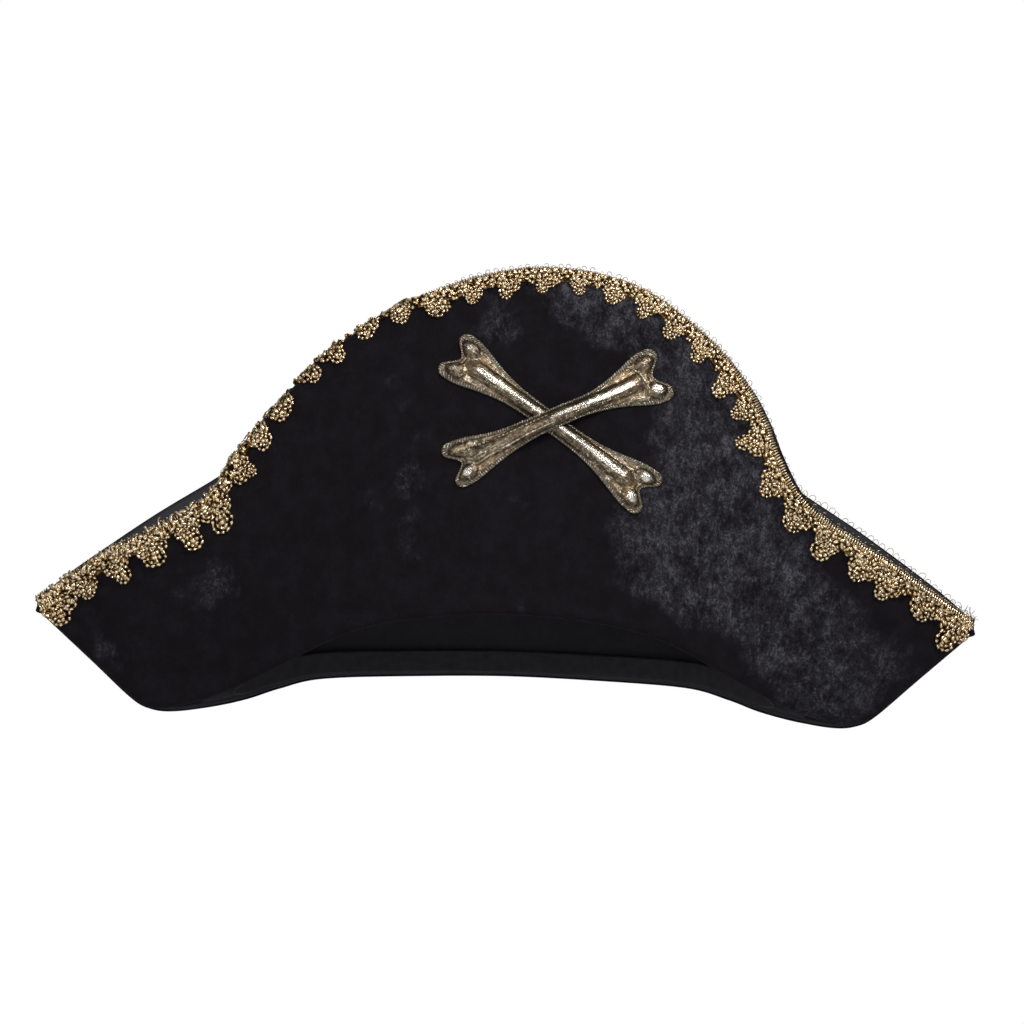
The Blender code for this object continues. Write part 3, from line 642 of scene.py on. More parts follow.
cap_cloth, tree, shader, coordinates = new_material("cap_cloth", Roughness=0.9, Sheen_Weight=0.02)
weave = tree.nodes.new("ShaderNodeGroup")
weave.node_tree = weave_group
weave.inputs["Threads"].default_value = 4200.0
tree.links.new(coordinates.outputs["Object"], weave.inputs["Vector"])
tree.links.new(
    mix_colour(tree, weave.outputs["Thread"], (0.0070, 0.0066, 0.0110), (0.0165, 0.0155, 0.0225)), shader.inputs["Base Color"]
)
add_bump(tree, shader, weave.outputs["Height"], 0.4, 0.0003)


def edge_height(brim, x):
    """Height of a panel's lower edge at this x, read from the arch between the two rounded corners."""
    arch = brim.bottom[np.abs(brim.bottom[:, 0]) < CORNER_HALF_SPAN - CORNER_ROUND]
    arch = arch[arch[:, 1] < brim.edge_z + 0.002]
    order = np.argsort(arch[:, 0])
    return np.interp(x, arch[order, 0], arch[order, 1])


def cap_section(share, inset):
    """Half width, half depth and end fullness of the cap at a share of its height, inside its outer face. The
    half sizes go from the opening's to the oval's with share^1.3."""
    half_depth = OPENING_HALF_DEPTH - CAP_CLEARANCE
    ease = share**CAP_LEAN
    return (
        CAP_HALF_WIDTH + (TIP_OVAL_HALF_WIDTH - CAP_HALF_WIDTH) * ease - CAP_END_NARROWING * inset,
        half_depth + (TIP_OVAL_HALF_DEPTH - half_depth) * ease - inset,
        2 - share,
    )


def cap_wall(brim, u, v, inset):
    """x is minus cos and y is sin^(2 - v) of pi u, times the section's half sizes. The wall flares at the bottom
    to meet the lining that it is sewn to, and fine puckers run from both seams."""
    half_width, half_depth, fullness = cap_section(v, inset)
    sewn = np.exp(-v / 0.03)
    half_width = half_width + (OPENING_HALF_WIDTH - CAP_HALF_WIDTH) * sewn
    half_depth = half_depth + CAP_CLEARANCE * sewn
    angle = math.pi * u
    gather = CAP_PUCKER_DEPTH * np.sin(angle) * np.cos(CAP_PUCKERS * angle) * (np.exp(-v / 0.08) + np.exp((v - 1) / 0.1))
    x = -half_width * np.cos(angle)
    bulge = np.maximum(np.sin(angle), 0)
    y = brim.side * ((half_depth - gather) * bulge**fullness + CAP_FLARE * sewn * (1 - bulge**6) - CAP_BITE)
    low = edge_height(brim, x) + CAP_BOTTOM_ABOVE_EDGE
    return np.stack([x, y, low + (CAP_TOP_Z - low) * v], axis=-1)


u, v = np.meshgrid(np.linspace(0, 1, 260), np.linspace(0, 1, 60))
for word, brim in (("front", front), ("back", back)):
    outer = cap_wall(brim, u, v, 0.0)
    piece = shell(f"cap_{word}", outer, cap_wall(brim, u, v, CAP_WALL * 0.75), cap_cloth)
    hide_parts(f"cap_{word}_wall")
    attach(piece, "root")


def oval(radius, angle, lift):
    """The tip's dome: rise times 1 - r^2 over an oval, with the seam's small ridge at the rim."""
    ridge = 0.0008 * np.exp(-(((radius - 0.975) / 0.02) ** 2))
    z = CAP_TOP_Z + 0.0003 + lift + TIP_OVAL_RISE * (1 - radius**2) + ridge
    return np.stack(
        [radius * TIP_OVAL_HALF_WIDTH * np.cos(angle), radius * TIP_OVAL_HALF_DEPTH * np.sin(angle), z], axis=-1
    )


def disc(name, upper, lower, material):
    """A closed oval sheet from two polar grids whose first row is the pole and whose last row is the rim."""
    rows, columns = upper.shape[:2]
    ring = (rows - 1) * columns + np.arange(columns)
    count = rows * columns
    faces = np.vstack([
        grid_faces(rows, columns, close=True),
        grid_faces(rows, columns, count, close=True)[:, ::-1],
        np.stack([ring, np.roll(ring, -1), np.roll(ring, -1) + count, ring + count], axis=-1),
    ])
    piece = put_mesh(name, np.vstack([upper.reshape(-1, 3), lower.reshape(-1, 3)]), faces, material)
    tidy_normals(piece)
    return piece


def tidy_normals(piece):
    """Merge the points at poles and seams, and turn every face outwards."""
    bm = bmesh.new()
    bm.from_mesh(piece.data)
    bmesh.ops.remove_doubles(bm, verts=bm.verts, dist=1e-7)
    bmesh.ops.recalc_face_normals(bm, faces=bm.faces)
    if bm.calc_volume(signed=True) < 0:
        bmesh.ops.reverse_faces(bm, faces=bm.faces)
    bm.to_mesh(piece.data)
    bm.free()


radius, angle = np.meshgrid(np.linspace(0, 1, 40), np.linspace(0, 2 * math.pi, 120, endpoint=False), indexing="ij")
piece = disc("cap_oval", oval(radius, angle, 0.0010), oval(radius, angle, 0.0), cap_cloth)
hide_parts("cap_tip")
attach(piece, "root")

# ---------------------------------------------------------------------------------------------------------
# Sweatband. A narrow ribbed ribbon is sewn flat round the inside of the head opening, over the cap's raw edge.
# It is a little lighter than the cap cloth.
RIBBON, RIBBON_HEIGHT, RIBBON_ABOVE_EDGE = 0.0008, 0.010, 0.001
RIBBON_HALF_WIDTH = OPENING_HALF_WIDTH - 0.014
RIBBON_RIBS = 520
ribbon_cloth, tree, shader, coordinates = new_material("ribbed_ribbon", Roughness=0.75, Sheen_Weight=0.03)
speck = noise_node(tree, coordinates.outputs["Object"], 260.0, 3.0)
tree.links.new(ramp_node(tree, speck, ((0.3, (0.0058, 0.0054, 0.0088)), (0.7, (0.0145, 0.0135, 0.0195)))), shader.inputs["Base Color"])
add_bump(tree, shader, speck, 0.2, 0.0002)
ribbon_depth = cap_section(0.12, CAP_WALL + 0.0003)[1] - 0.0003


def ribbon_face(u, v, inset):
    """x is cos and y is sin |sin| of the turn; each edge follows the brow edges, blended round the ends. Ribs of
    0.06 mm run up the face, and both edges carry a woven selvedge."""
    swing = np.sin(u)
    x = (RIBBON_HALF_WIDTH - inset) * np.cos(u)
    low_front, low_back = (edge_height(brim, x) for brim in (front, back))
    share = np.clip(0.5 + swing / 0.6, 0, 1)
    low = low_front + (low_back - low_front) * share + RIBBON_ABOVE_EDGE
    rib = 0.00006 * np.sin(RIBBON_RIBS * u) * (0.08 < v) * (v < 0.92)
    y = (ribbon_depth - inset + rib * (inset > 0)) * swing * np.abs(swing)
    return np.stack([x, y, low + RIBBON_HEIGHT * v], axis=-1)


u, v = np.meshgrid(np.linspace(0, 2 * math.pi, 1560, endpoint=False), np.linspace(0, 1, 12))
outer, inner = ribbon_face(u, v, 0.0), ribbon_face(u, v, RIBBON)
rows, columns = u.shape
rims = [np.arange(columns), (rows - 1) * columns + np.arange(columns)]
faces = [grid_faces(rows, columns, close=True), grid_faces(rows, columns, rows * columns, close=True)[:, ::-1]]
for rim, flip in zip(rims, (-1, 1)):
    ahead = np.roll(rim, -1)
    faces.append(np.stack([rim, ahead, ahead + rows * columns, rim + rows * columns], axis=-1)[:, ::flip])
ribbon = put_mesh("ribbon", np.vstack([outer.reshape(-1, 3), inner.reshape(-1, 3)]), np.vstack(faces), ribbon_cloth)
tidy_normals(ribbon)
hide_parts("sweatband")
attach(ribbon, "root")

# ---------------------------------------------------------------------------------------------------------
# Gold braid. A trimming of metallic yarn is sewn along the top edge of each panel. It has a header of cross
# wraps and cords, shells of beaded loops that hang from it, and small wire picots that stand up above it. On
# the front's left slope it is rolled over the edge, and its ends are bunched at the tips.
SHELL_PITCH, FIRST_SHELL, TIP_SWELL = 0.017, 0.0058, 1.12
HEADER_WIDTH, HEADER_LOW = 0.0070, -0.0046
ROLLED_SHIFT, ROLLED_MIDDLE, ROLLED_REACH = 0.0084, -0.085, 0.040
CROWN_SHIFT, CROWN_MIDDLE, CROWN_REACH = 0.0016, 0.015, 0.098
BEAD_PITCH, BEAD_RADIUS = 0.00190, 0.00082
PICOT_PITCH, PICOT_HEIGHT, PICOT_WIRE = 0.0036, 0.0023, 0.00014
STRIPS = 150

gold, tree, shader, coordinates = new_material("gold_yarn", Metallic=0.85)
map_uv = tree.nodes.new("ShaderNodeSeparateXYZ")
tree.links.new(coordinates.outputs["UV"], map_uv.inputs[0])
# Painted highlight and shade: crown is light at the fattest part of each bead and on the upper side of each tube, and
# dark in the gaps between beads and underneath, so the flat tape, all underside, stays dark.
along = math_node(tree, "COSINE", math_node(tree, "MULTIPLY", map_uv.outputs[0], 2 * math.pi))
around = math_node(tree, "COSINE", math_node(tree, "MULTIPLY", map_uv.outputs[1], 2 * math.pi))
bead = math_node(tree, "MULTIPLY_ADD", along, 0.5)
bead.node.inputs[2].default_value = 0.5
top = math_node(tree, "MULTIPLY_ADD", around, -0.5)
top.node.inputs[2].default_value = 0.5
crown = math_node(tree, "POWER", math_node(tree, "MULTIPLY", bead, top), 1.6)
fleck = noise_node(tree, coordinates.outputs["Object"], 620.0, 2.0, 0.6)
tone = noise_node(tree, coordinates.outputs["Object"], 260.0, 2.0, 0.5)
level = math_node(tree, "ADD", math_node(tree, "MULTIPLY", crown, 0.52), math_node(tree, "MULTIPLY", fleck, 0.95))
level = math_node(tree, "ADD", level, math_node(tree, "MULTIPLY", tone, 0.45))
tree.links.new(
    ramp_node(tree, level, (
        (0.60, (0.020, 0.009, 0.003)), (0.76, (0.20, 0.105, 0.028)), (0.90, (0.60, 0.37, 0.125)), (1.0, (1.0, 0.83, 0.58)),
    )),
    shader.inputs["Base Color"],
)
tree.links.new(ramp_node(tree, fleck, ((0.3, 0.36), (0.7, 0.18))), shader.inputs["Roughness"])
strand = math_node(tree, "ADD", math_node(tree, "MULTIPLY", map_uv.outputs[0], 12.0), math_node(tree, "MULTIPLY", map_uv.outputs[1], 18.85))
add_bump(tree, shader, math_node(tree, "SINE", strand), 0.5, 0.00012)


class Bed:
    """The surface that a braid lies on, over shares u along a panel's top edge and distances w across it. w is
    negative down the outer face, goes once round the rolled edge, and then runs down the inside."""

    ALONG = 640

    def __init__(self, brim, rolls):
        self.brim, self.length = brim, brim.top_length
        u = np.linspace(0, 1, self.ALONG)
        self.crest = at_share(brim.top, u)
        self.rolled = rolls * np.exp(-(((self.crest[:, 0] - ROLLED_MIDDLE) / ROLLED_REACH) ** 4))
        self.scrunched = rolls * np.clip((-0.066 - self.crest[:, 0]) / 0.02, 0, 1)
        self.crowned = np.exp(-(((self.crest[:, 0] - CROWN_MIDDLE) / CROWN_REACH) ** 2))
        ahead = at_share(brim.top, u + 0.004) - at_share(brim.top, u - 0.004)
        ahead /= np.linalg.norm(ahead, axis=-1, keepdims=True)
        half_turn = math.pi * EDGE_RADIUS
        down = np.linspace(-0.0225, 0, 32)
        inside = half_turn + np.linspace(0, 0.005, 6)[1:]
        faces = []
        for w, out in ((down, PANEL_THICKNESS), (-(inside - half_turn), 0.0), (np.array([0.0, -0.001]), PANEL_THICKNESS / 2)):
            reach = (w - EDGE_INSET)[None, :]
            x = self.crest[:, :1] - ahead[:, 1:] * reach
            z = self.crest[:, 1:] + ahead[:, :1] * reach
            s, t = brim.locate(x, z, np.repeat(u[:, None], x.shape[1], 1), np.ones_like(x))
            faces.append(brim.layer(s, t, out))
            steep = brim.steepness(s, t)
        middle = faces[2][:, 0]
        self.outwards = middle - faces[2][:, 1]
        self.outwards /= np.linalg.norm(self.outwards, axis=-1, keepdims=True)
        turn = np.linspace(math.pi / 2, -math.pi / 2, 22)[None, 1:, None]
        stand = np.zeros((self.ALONG, 1, 3))
        stand[:, 0, 1] = brim.side * steep[:, 0]
        roll = middle[:, None] + EDGE_RADIUS * (np.cos(turn) * self.outwards[:, None] + np.sin(turn) * stand)
        self.w = np.concatenate([down, EDGE_RADIUS * (math.pi / 2 - turn[0, :, 0]), inside])
        self.points = np.concatenate([faces[0], roll, faces[1]], axis=1)
        n = np.cross(np.gradient(self.points, axis=0), np.gradient(self.points, axis=1))
        n /= np.linalg.norm(n, axis=-1, keepdims=True)
        facing = np.sign(n[self.ALONG // 2, 4, 1]) * brim.side
        self.normals = n * facing

    def at(self, u, w, lift):
        """The point this far above the bed, and the bed's normal there, both read linearly from its grid."""
        i = np.clip(u, 0, 1) * (self.ALONG - 1)
        j = np.interp(w, self.w, np.arange(len(self.w)))
        i0, j0 = np.minimum(i.astype(int), self.ALONG - 2), np.minimum(j.astype(int), len(self.w) - 2)
        fi, fj = (i - i0)[..., None], (j - j0)[..., None]
        found = []
        for grid in (self.points, self.normals):
            near = grid[i0, j0] * (1 - fj) + grid[i0, j0 + 1] * fj
            far = grid[i0 + 1, j0] * (1 - fj) + grid[i0 + 1, j0 + 1] * fj
            found.append(near * (1 - fi) + far * fi)
        past = (np.maximum(u - 1, 0) + np.minimum(u, 0)) * self.length
        point = found[0] + past[..., None] * np.array((1.0, 0, 0)) + found[1] * np.asarray(lift)[..., None]
        return point, found[1]

    def low(self, u):
        """The distance w of the header's lower edge."""
        shift = ROLLED_SHIFT * self.rolled + CROWN_SHIFT * self.crowned
        return HEADER_LOW + np.interp(u, np.linspace(0, 1, self.ALONG), shift)


class Yarn:
    """Tubes of yarn gathered into one mesh. Each is a ring of four or six points carried along its path, wide at
    radius, with the ends closed."""

    def __init__(self):
        self.points, self.faces, self.uv, self.count = [], [], [], 0

    def add(self, path, up, radius, phase, sides=6, flat=1.0):
        """path and up are (tubes, rings, 3), radius and phase (tubes, rings). The first point is underneath, and
        flat is the tube's height over its width."""
        ahead = np.gradient(path, axis=1)
        ahead /= np.maximum(np.linalg.norm(ahead, axis=-1, keepdims=True), 1e-12)
        across = np.cross(ahead, up)
        across /= np.maximum(np.linalg.norm(across, axis=-1, keepdims=True), 1e-12)
        up = np.cross(across, ahead)
        turn = np.arange(sides) / sides
        rise, aside = -flat * np.cos(2 * np.pi * turn), np.sin(2 * np.pi * turn)
        ring = rise[:, None] * up[:, :, None] + aside[:, None] * across[:, :, None]
        points = path[:, :, None] + radius[..., None, None] * ring
        tubes, rings = path.shape[:2]
        body = grid_faces(rings, sides, close=True)
        start = [np.array([0, 1, 2, 3])] + ([np.array([0, 3, 4, 5])] if sides == 6 else [])
        ends = np.vstack([[c + (rings - 1) * sides for c in start], [c[::-1] for c in start]])
        one = np.vstack([body, ends])
        faces = one[None] + (self.count + np.arange(tubes) * rings * sides)[:, None, None]
        self.points.append(points.reshape(-1, 3))
        self.faces.append(faces.reshape(-1, 4))
        around = np.broadcast_to(turn, points.shape[:3])
        self.uv.append(np.stack([np.broadcast_to(phase[..., None], around.shape), around], axis=-1).reshape(-1, 2))
        self.count += points.size // 3

    def build(self, name, material):
        faces = np.vstack(self.faces)
        points = np.vstack(self.points)
        a, b, c, d = (points[faces[:, k]] for k in range(4))
        if (np.cross(b - a, c - a) * a + np.cross(c - a, d - a) * a).sum() < 0:
            faces = faces[:, ::-1]
        return put_mesh(name, points, faces, material, np.vstack(self.uv))


def beads(length, pitch, radius, tubes=1):
    """Shares, radii and phases of a beaded cord's rings, four to a bead: radius times 0.78 + 0.22 cos."""
    count = max(round(length / pitch), 2)
    share = np.linspace(0, 1, 4 * count + 1)
    phase = np.repeat((share * count + 0.5)[None], tubes, 0)
    return share, radius * (0.78 + 0.22 * np.cos(2 * np.pi * phase)), phase


LOBES = ((-60.0, 0.0080, 0.0024), (-4.0, 0.0116, 0.0028), (54.0, 0.0080, 0.0024))
NESTED = ((1.0, 0.0006), (0.55, 0.0017))


def hang_shells(bed, yarn, random):
    """Each lobe is a drop-shaped loop of beads: L(1 - cos)/2 along its axis and W sin (1 - cos)/2 across it. A
    smaller loop lies inside and above it, over a flat drop of yarn that fills the middle. The shells are
    smaller round the crown than on the flanks."""
    shells = round((bed.length - 2 * FIRST_SHELL) / SHELL_PITCH) + 1
    middle = np.linspace(FIRST_SHELL, bed.length - FIRST_SHELL, shells) / bed.length
    middle[1:-1] += random.uniform(-0.0018, 0.0018, shells - 2) / bed.length
    crown = np.interp(middle, np.linspace(0, 1, bed.ALONG), bed.crowned)
    size = random.uniform(0.88, 1.08, shells) * (1 - 0.34 * crown)
    swing = np.radians(random.uniform(-20, 20, shells))
    swing[[0, -1]] = 0
    size[[0, -1]] = TIP_SWELL
    for lean, reach, half in LOBES:
        axis = np.radians(lean + random.uniform(-13, 13, shells)) + swing
        long = reach * size * random.uniform(0.74, 1.12, shells)
        wide = half * size * random.uniform(0.82, 1.14, shells)
        tilt = random.uniform(-0.0005, 0.0007, (shells, 1))

        def lobe_point(down, side, lift):
            p = down * np.sin(axis)[:, None] + side * np.cos(axis)[:, None]
            q = down * np.cos(axis)[:, None] - side * np.sin(axis)[:, None]
            u = middle[:, None] + p / bed.length
            return bed.at(u, bed.low(np.clip(u, 0, 1)) + 0.0010 - q, lift + tilt * down / reach)

        for scale, lift in NESTED:
            share, radius, phase = beads(2.35 * reach * scale, BEAD_PITCH, BEAD_RADIUS, shells)
            turn = 2 * np.pi * share[None]
            out = 0.5 * (1 - np.cos(turn))
            wobble = random.uniform(-0.00022, 0.00022, (2, shells, len(share)))
            down = long[:, None] * (0.62 + scale * (out - 0.62)) + wobble[0]
            side = 1.9 * scale * wide[:, None] * np.sin(turn) * (0.35 + 0.65 * out) + wobble[1]
            point, up = lobe_point(down, side, lift)
            yarn.add(point, up, radius * random.uniform(0.82, 1.12, radius.shape), phase)
        share = np.linspace(0.12, 0.93, 9)[None]
        point, up = lobe_point(long[:, None] * share, 0 * share * long[:, None], 0.0004)
        belly = wide[:, None] * 1.05 * np.sin(np.pi * share) ** 0.6 * (0.45 + 0.55 * share)
        yarn.add(point, up, belly, share * 4.5 + 0 * belly, flat=0.42)


def lay_header(bed, yarn, random):
    """The flat header: cross wraps like a ladder along its top, two wavy cords, a beaded zigzag, and a curling
    beaded cord that loops back over itself along the feet of the shells. Where the braid is scrunched up, on
    the front's left flank, most wraps are buried under short flat strips of foil that lie every way."""
    wraps = round(bed.length / 0.0012)
    start = (np.arange(wraps) + 0.5) / wraps
    share = np.linspace(0, 1, 7)[None]
    loose = 0.25 + 0.75 * np.interp(start, np.linspace(0, 1, bed.ALONG), bed.scrunched)[:, None]
    slant = loose * random.uniform(-0.0030, 0.0018, (wraps, 1))
    u = start[:, None] + slant * (share - 0.5) / bed.length
    reach = random.uniform(0.0032, 0.0038, (wraps, 1))
    w = bed.low(u) + 0.0034 + reach * share
    raised = 0.00065 + loose * random.uniform(0, 0.0009, (wraps, 1))
    point, up = bed.at(u, w, raised + 0.0004 * np.sin(np.pi * share))
    kept = random.uniform(0, 1, (wraps, 1)) > 0.85 * (loose - 0.25)
    thick = np.where(kept, 0.00041 + 0.00032 * (loose - 0.25), 0.00020) * random.uniform(0.75, 1.2, (wraps, 1)) + 0 * w
    yarn.add(point, up, thick, 0.5 + share * 1.0 + 0 * w, 4)
    zone = np.flatnonzero(bed.scrunched > 0.2) / (bed.ALONG - 1)
    if zone.size:
        start = random.uniform(zone[0], zone[-1], (STRIPS, 1))
        slope = random.uniform(-1.0, 1.2, (STRIPS, 1))
        reach = random.uniform(0.0010, 0.0022, (STRIPS, 1))
        height = bed.low(start) + random.uniform(0.0012, 0.0062, (STRIPS, 1))
        share = np.linspace(-1, 1, 5)[None]
        point, up = bed.at(
            start + reach * share * np.cos(slope) / bed.length, height + reach * share * np.sin(slope),
            random.uniform(0.0022, 0.0031, (STRIPS, 1)) + 0.0003 * np.cos(share * np.pi),
        )
        across = random.uniform(0.0005, 0.0009, (STRIPS, 1)) + 0 * point[..., 0]
        yarn.add(point, up, across, 0.35 * share + 0 * across, 4, 0.25)
    for height, wave, pitch, size in ((0.0036, 0.0005, 0.0051, 0.00066), (0.0010, 0.0007, 0.0071, 0.00060)):
        share = np.linspace(0.001, 0.999, round(bed.length / 0.00045))[None]
        w = bed.low(share) + height + wave * np.sin(2 * np.pi * share * bed.length / pitch)
        point, up = bed.at(share, w, 0.0015 + 0 * w)
        phase = share * bed.length / 0.0026
        yarn.add(point, up, size * (0.82 + 0.18 * np.cos(2 * np.pi * phase)), phase)
    for pitch, slack, height, across, back, lift in (
        (0.0039, 1.45, 0.0026, 0.0014, 0.0, 0.0014), (0.0062, 1.9, 0.0010, 0.0024, 0.0020, 0.0022),
    ):
        count = round(bed.length / pitch)
        share, radius, phase = beads(slack * bed.length, BEAD_PITCH, BEAD_RADIUS)
        knots = np.linspace(0, 1, 2 * count + 1)
        uneven = [np.interp(share, knots, random.uniform(-1, 1, len(knots))) for _ in range(4)]
        turn = 2 * np.pi * share * count + 0.9 * uneven[0]
        u = share + (back * np.sin(turn) + 0.0006 * uneven[1]) / bed.length
        ragged = np.interp(u, np.linspace(0, 1, bed.ALONG), bed.scrunched) * 0.0016
        w = bed.low(np.clip(u, 0, 1)) + height + ragged + across * (np.cos(turn) + 0.35 * uneven[2])
        point, up = bed.at(u[None], w[None], (lift + 0.0005 * uneven[3])[None])
        yarn.add(point, up, radius * random.uniform(0.8, 1.15, radius.shape), phase)


def stand_picots(bed, yarn, random):
    """Each picot is an open loop of thin wire: sin across and (1 - cos)/2 up from the header's top edge. Where the
    braid is rolled over, the loops lie down the inside instead, and on the left they are pulled flat."""
    loops = round(bed.length / PICOT_PITCH)
    middle = (np.arange(loops) + 0.5) / loops + random.uniform(-0.0005, 0.0005, loops) / bed.length
    turn = np.linspace(0, 2 * np.pi, 13)[None]
    across = np.interp(middle, np.linspace(0, 1, bed.ALONG), bed.crest[:, 0])[:, None]
    stretched = np.clip((across + 0.055) / 0.03, 0.25, 1) * (1 if bed.rolled.any() else 1.5)
    height = PICOT_HEIGHT * random.uniform(0.7, 1.15, (loops, 1)) * stretched
    rise = height * 0.5 * (1 - np.cos(turn)) - 0.0004
    aside = -0.42 * height * np.sin(turn) + random.uniform(-0.25, 0.25, (loops, 1)) * rise
    u = middle[:, None] + aside / bed.length
    top = bed.low(np.clip(u, 0, 1)) + HEADER_WIDTH
    laid, up = bed.at(u, top + rise, 0.0003 + 0 * rise)
    foot, _ = bed.at(u, top, 0.0004 + 0 * rise)
    grid = np.linspace(0, 1, bed.ALONG)
    outwards = np.stack([np.interp(np.clip(u, 0, 1), grid, bed.outwards[:, k]) for k in range(3)], axis=-1)
    leaning = random.uniform(-0.25, 0.25, (loops, 1)) * rise
    standing = foot + outwards * rise[..., None]
    standing[..., 1] += leaning
    rolled = np.clip(2 * np.interp(np.clip(middle, 0, 1), grid, bed.rolled), 0, 1)[:, None, None]
    yarn.add(standing * (1 - rolled) + laid * rolled, up, np.full(rise.shape, PICOT_WIRE), turn / 3 + 0 * rise, 4)


def finish_ends(bed, yarn, random, frayed):
    """The first tip is bound with five thick ribs. At the other the yarn is cut, bunched and frayed."""
    share = np.linspace(0, 1, 9)[None]
    ribs = (np.arange(6) * 0.00115 - 0.0008)[:, None] / bed.length
    w = HEADER_LOW - 0.0022 + 0.0098 * share + 0 * ribs
    for hand in (0, 1):
        if frayed and hand == 1:
            continue
        u = (hand - 0.5) * -2 * (ribs + 0.0006 * share / bed.length) + hand
        point, up = bed.at(u, w, 0.0012 + 0.0008 * np.sin(np.pi * share) + 0 * u)
        yarn.add(point, up, np.full(w.shape, 0.00056), 0.5 + share + 0 * w, 4)
    if not frayed:
        return
    threads = 46
    start = 1 - random.uniform(0.0, 0.0075, (threads, 1)) / bed.length
    foot, up = bed.at(start, HEADER_LOW + random.uniform(-0.0005, 0.0072, (threads, 1)), np.full((threads, 1), 0.0010))
    away = random.normal(0, 1, (threads, 1, 3)) * (1, 0.5, 1) + (0.5, 0, 0.9)
    away /= np.linalg.norm(away, axis=-1, keepdims=True)
    bend = random.normal(0, 0.5, (threads, 1, 3))
    share = np.linspace(0, 1, 8)[None, :, None]
    length = random.uniform(0.0018, 0.0044, (threads, 1, 1))
    point = foot + length * (away * share + bend * share**2)
    yarn.add(point, np.repeat(up, 8, 1), np.full((threads, 8), 0.00014), np.repeat(share[..., 0], threads, 0), 4)
    count = 7
    turn = np.linspace(0, 2 * np.pi, 37)[None]
    centre = 1 - random.uniform(0.0, 0.007, (count, 1)) / bed.length
    size = random.uniform(0.0012, 0.0024, (count, 1))
    u = centre + size * np.cos(turn) / bed.length
    w = HEADER_LOW + random.uniform(0.0005, 0.0060, (count, 1)) + size * np.sin(turn)
    point, up = bed.at(u, w, 0.0014 + 0.0005 * np.sin(2 * turn + centre * 9))
    phase = 0.5 + turn / (2 * np.pi) * 9 + 0 * size
    yarn.add(point, up, BEAD_RADIUS * (0.7 + 0.3 * np.cos(2 * np.pi * phase)), phase)


for word, brim, rolls, seed in (("front", front, 1.0, 3), ("back", back, 0.0, 4)):
    bed = Bed(brim, rolls)
    random = np.random.default_rng(seed)
    shells, header, picots = Yarn(), Yarn(), Yarn()
    hang_shells(bed, shells, random)
    lay_header(bed, header, random)
    finish_ends(bed, header, random, word == "front")
    stand_picots(bed, picots, random)
    u, w = np.meshgrid(np.linspace(0.001, 0.999, 560), np.linspace(-0.0006, HEADER_WIDTH, 8))
    level = 0.00055 * np.ones_like(u)
    over, _ = bed.at(u, bed.low(u) + w, level)
    below, _ = bed.at(u, bed.low(u) + w, level - 0.00045)
    phase = np.stack([u * bed.length / 0.0011, 0 * u], axis=-1)
    pieces = [
        shells.build(f"{word}_braid_shells", gold), header.build(f"{word}_braid_header", gold),
        picots.build(f"{word}_braid_picots", gold), shell(f"{word}_braid_tape", over, below, gold, phase),
    ]
    for piece in pieces:
        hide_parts(f"{word}_braid")
        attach(piece, "root")

# ---------------------------------------------------------------------------------------------------------
# Crossed bones. Each is cut from a pale gold metallic cloth, stuffed with wadding, and overcast to the front
# panel round a flat edge. Their cloth is simulated: a bone is pinned along its edge and blown up from below.
# They hang at a set height below the crown's peak, and the over bone climbs the under bone where they cross.
BONES_BELOW_PEAK, BONE_STANDOFF, BONE_LAYER = 0.0690, 0.0006, 0.0006
OVER_BONE = ((0.0006, 0.0009), 26.5, 0.0525, (0.0104, 0.0124))
UNDER_BONE = ((-0.0024, -0.0009), -34.8, 0.0548, (0.0112, 0.0108))
BONE_HALF_WAIST, BONE_NOTCH, BONE_KNOB = 0.0043, 0.0060, 0.66
BONE_PUFF, BONE_FLAT_EDGE, LAME_THICKNESS = 0.0030, 0.18, 0.00045
RIDGE_HEIGHT, DOME_HEIGHT, WEB_HEIGHT = 0.0036, 0.0034, 0.0012
CREST_HALF, CREST_SHIFT = 0.0012, 0.0002
CROSSING_REACH, CROSSING_EASE = 1.7, 0.014
BONE_COLUMNS, BONE_ROWS = 181, 45
CLOTH_SCALE, CLOTH_FRAMES, CLOTH_PRESSURE, CLOTH_MOST_MOVE = 12.0, 20, 2.4, 0.0009

lame, tree, shader, coordinates = new_material("gold_lame", Metallic=1.0)
where = coordinates.outputs["Object"]
weave = tree.nodes.new("ShaderNodeGroup")
weave.node_tree = weave_group
weave.inputs["Threads"].default_value = 7800.0
turned = tree.nodes.new("ShaderNodeMapping")
turned.inputs["Rotation"].default_value = (0, math.radians(32), 0)
tree.links.new(where, turned.inputs["Vector"])
tree.links.new(turned.outputs[0], weave.inputs["Vector"])
map_uv = tree.nodes.new("ShaderNodeSeparateXYZ")
tree.links.new(coordinates.outputs["UV"], map_uv.inputs[0])
grain = tree.nodes.new("ShaderNodeMapping")
grain.inputs["Scale"].default_value = (16.0, 13.0, 1.0)
tree.links.new(coordinates.outputs["UV"], grain.inputs["Vector"])
streak = noise_node(tree, grain.outputs[0], 1.0, 4.0, 0.65)
from_middle = math_node(tree, "MAXIMUM", math_node(tree, "ABSOLUTE", map_uv.outputs[1]), math_node(tree, "SUBTRACT", math_node(tree, "ABSOLUTE", map_uv.outputs[0]), 0.185))
edge = ramp_node(tree, from_middle, ((0.74, 0.0), (0.84, 1.0)))
glint = noise_node(tree, where, 620.0, 3.0, 0.7)
glint = math_node(tree, "ADD", math_node(tree, "MULTIPLY", glint, 0.55), math_node(tree, "MULTIPLY", streak, 0.45))
tarnish = noise_node(tree, where, 85.0, 3.0, 0.6)
metal = ramp_node(tree, glint, ((0.40, (0.050, 0.038, 0.026)), (0.52, (0.20, 0.155, 0.105)), (0.64, (0.78, 0.68, 0.52))))
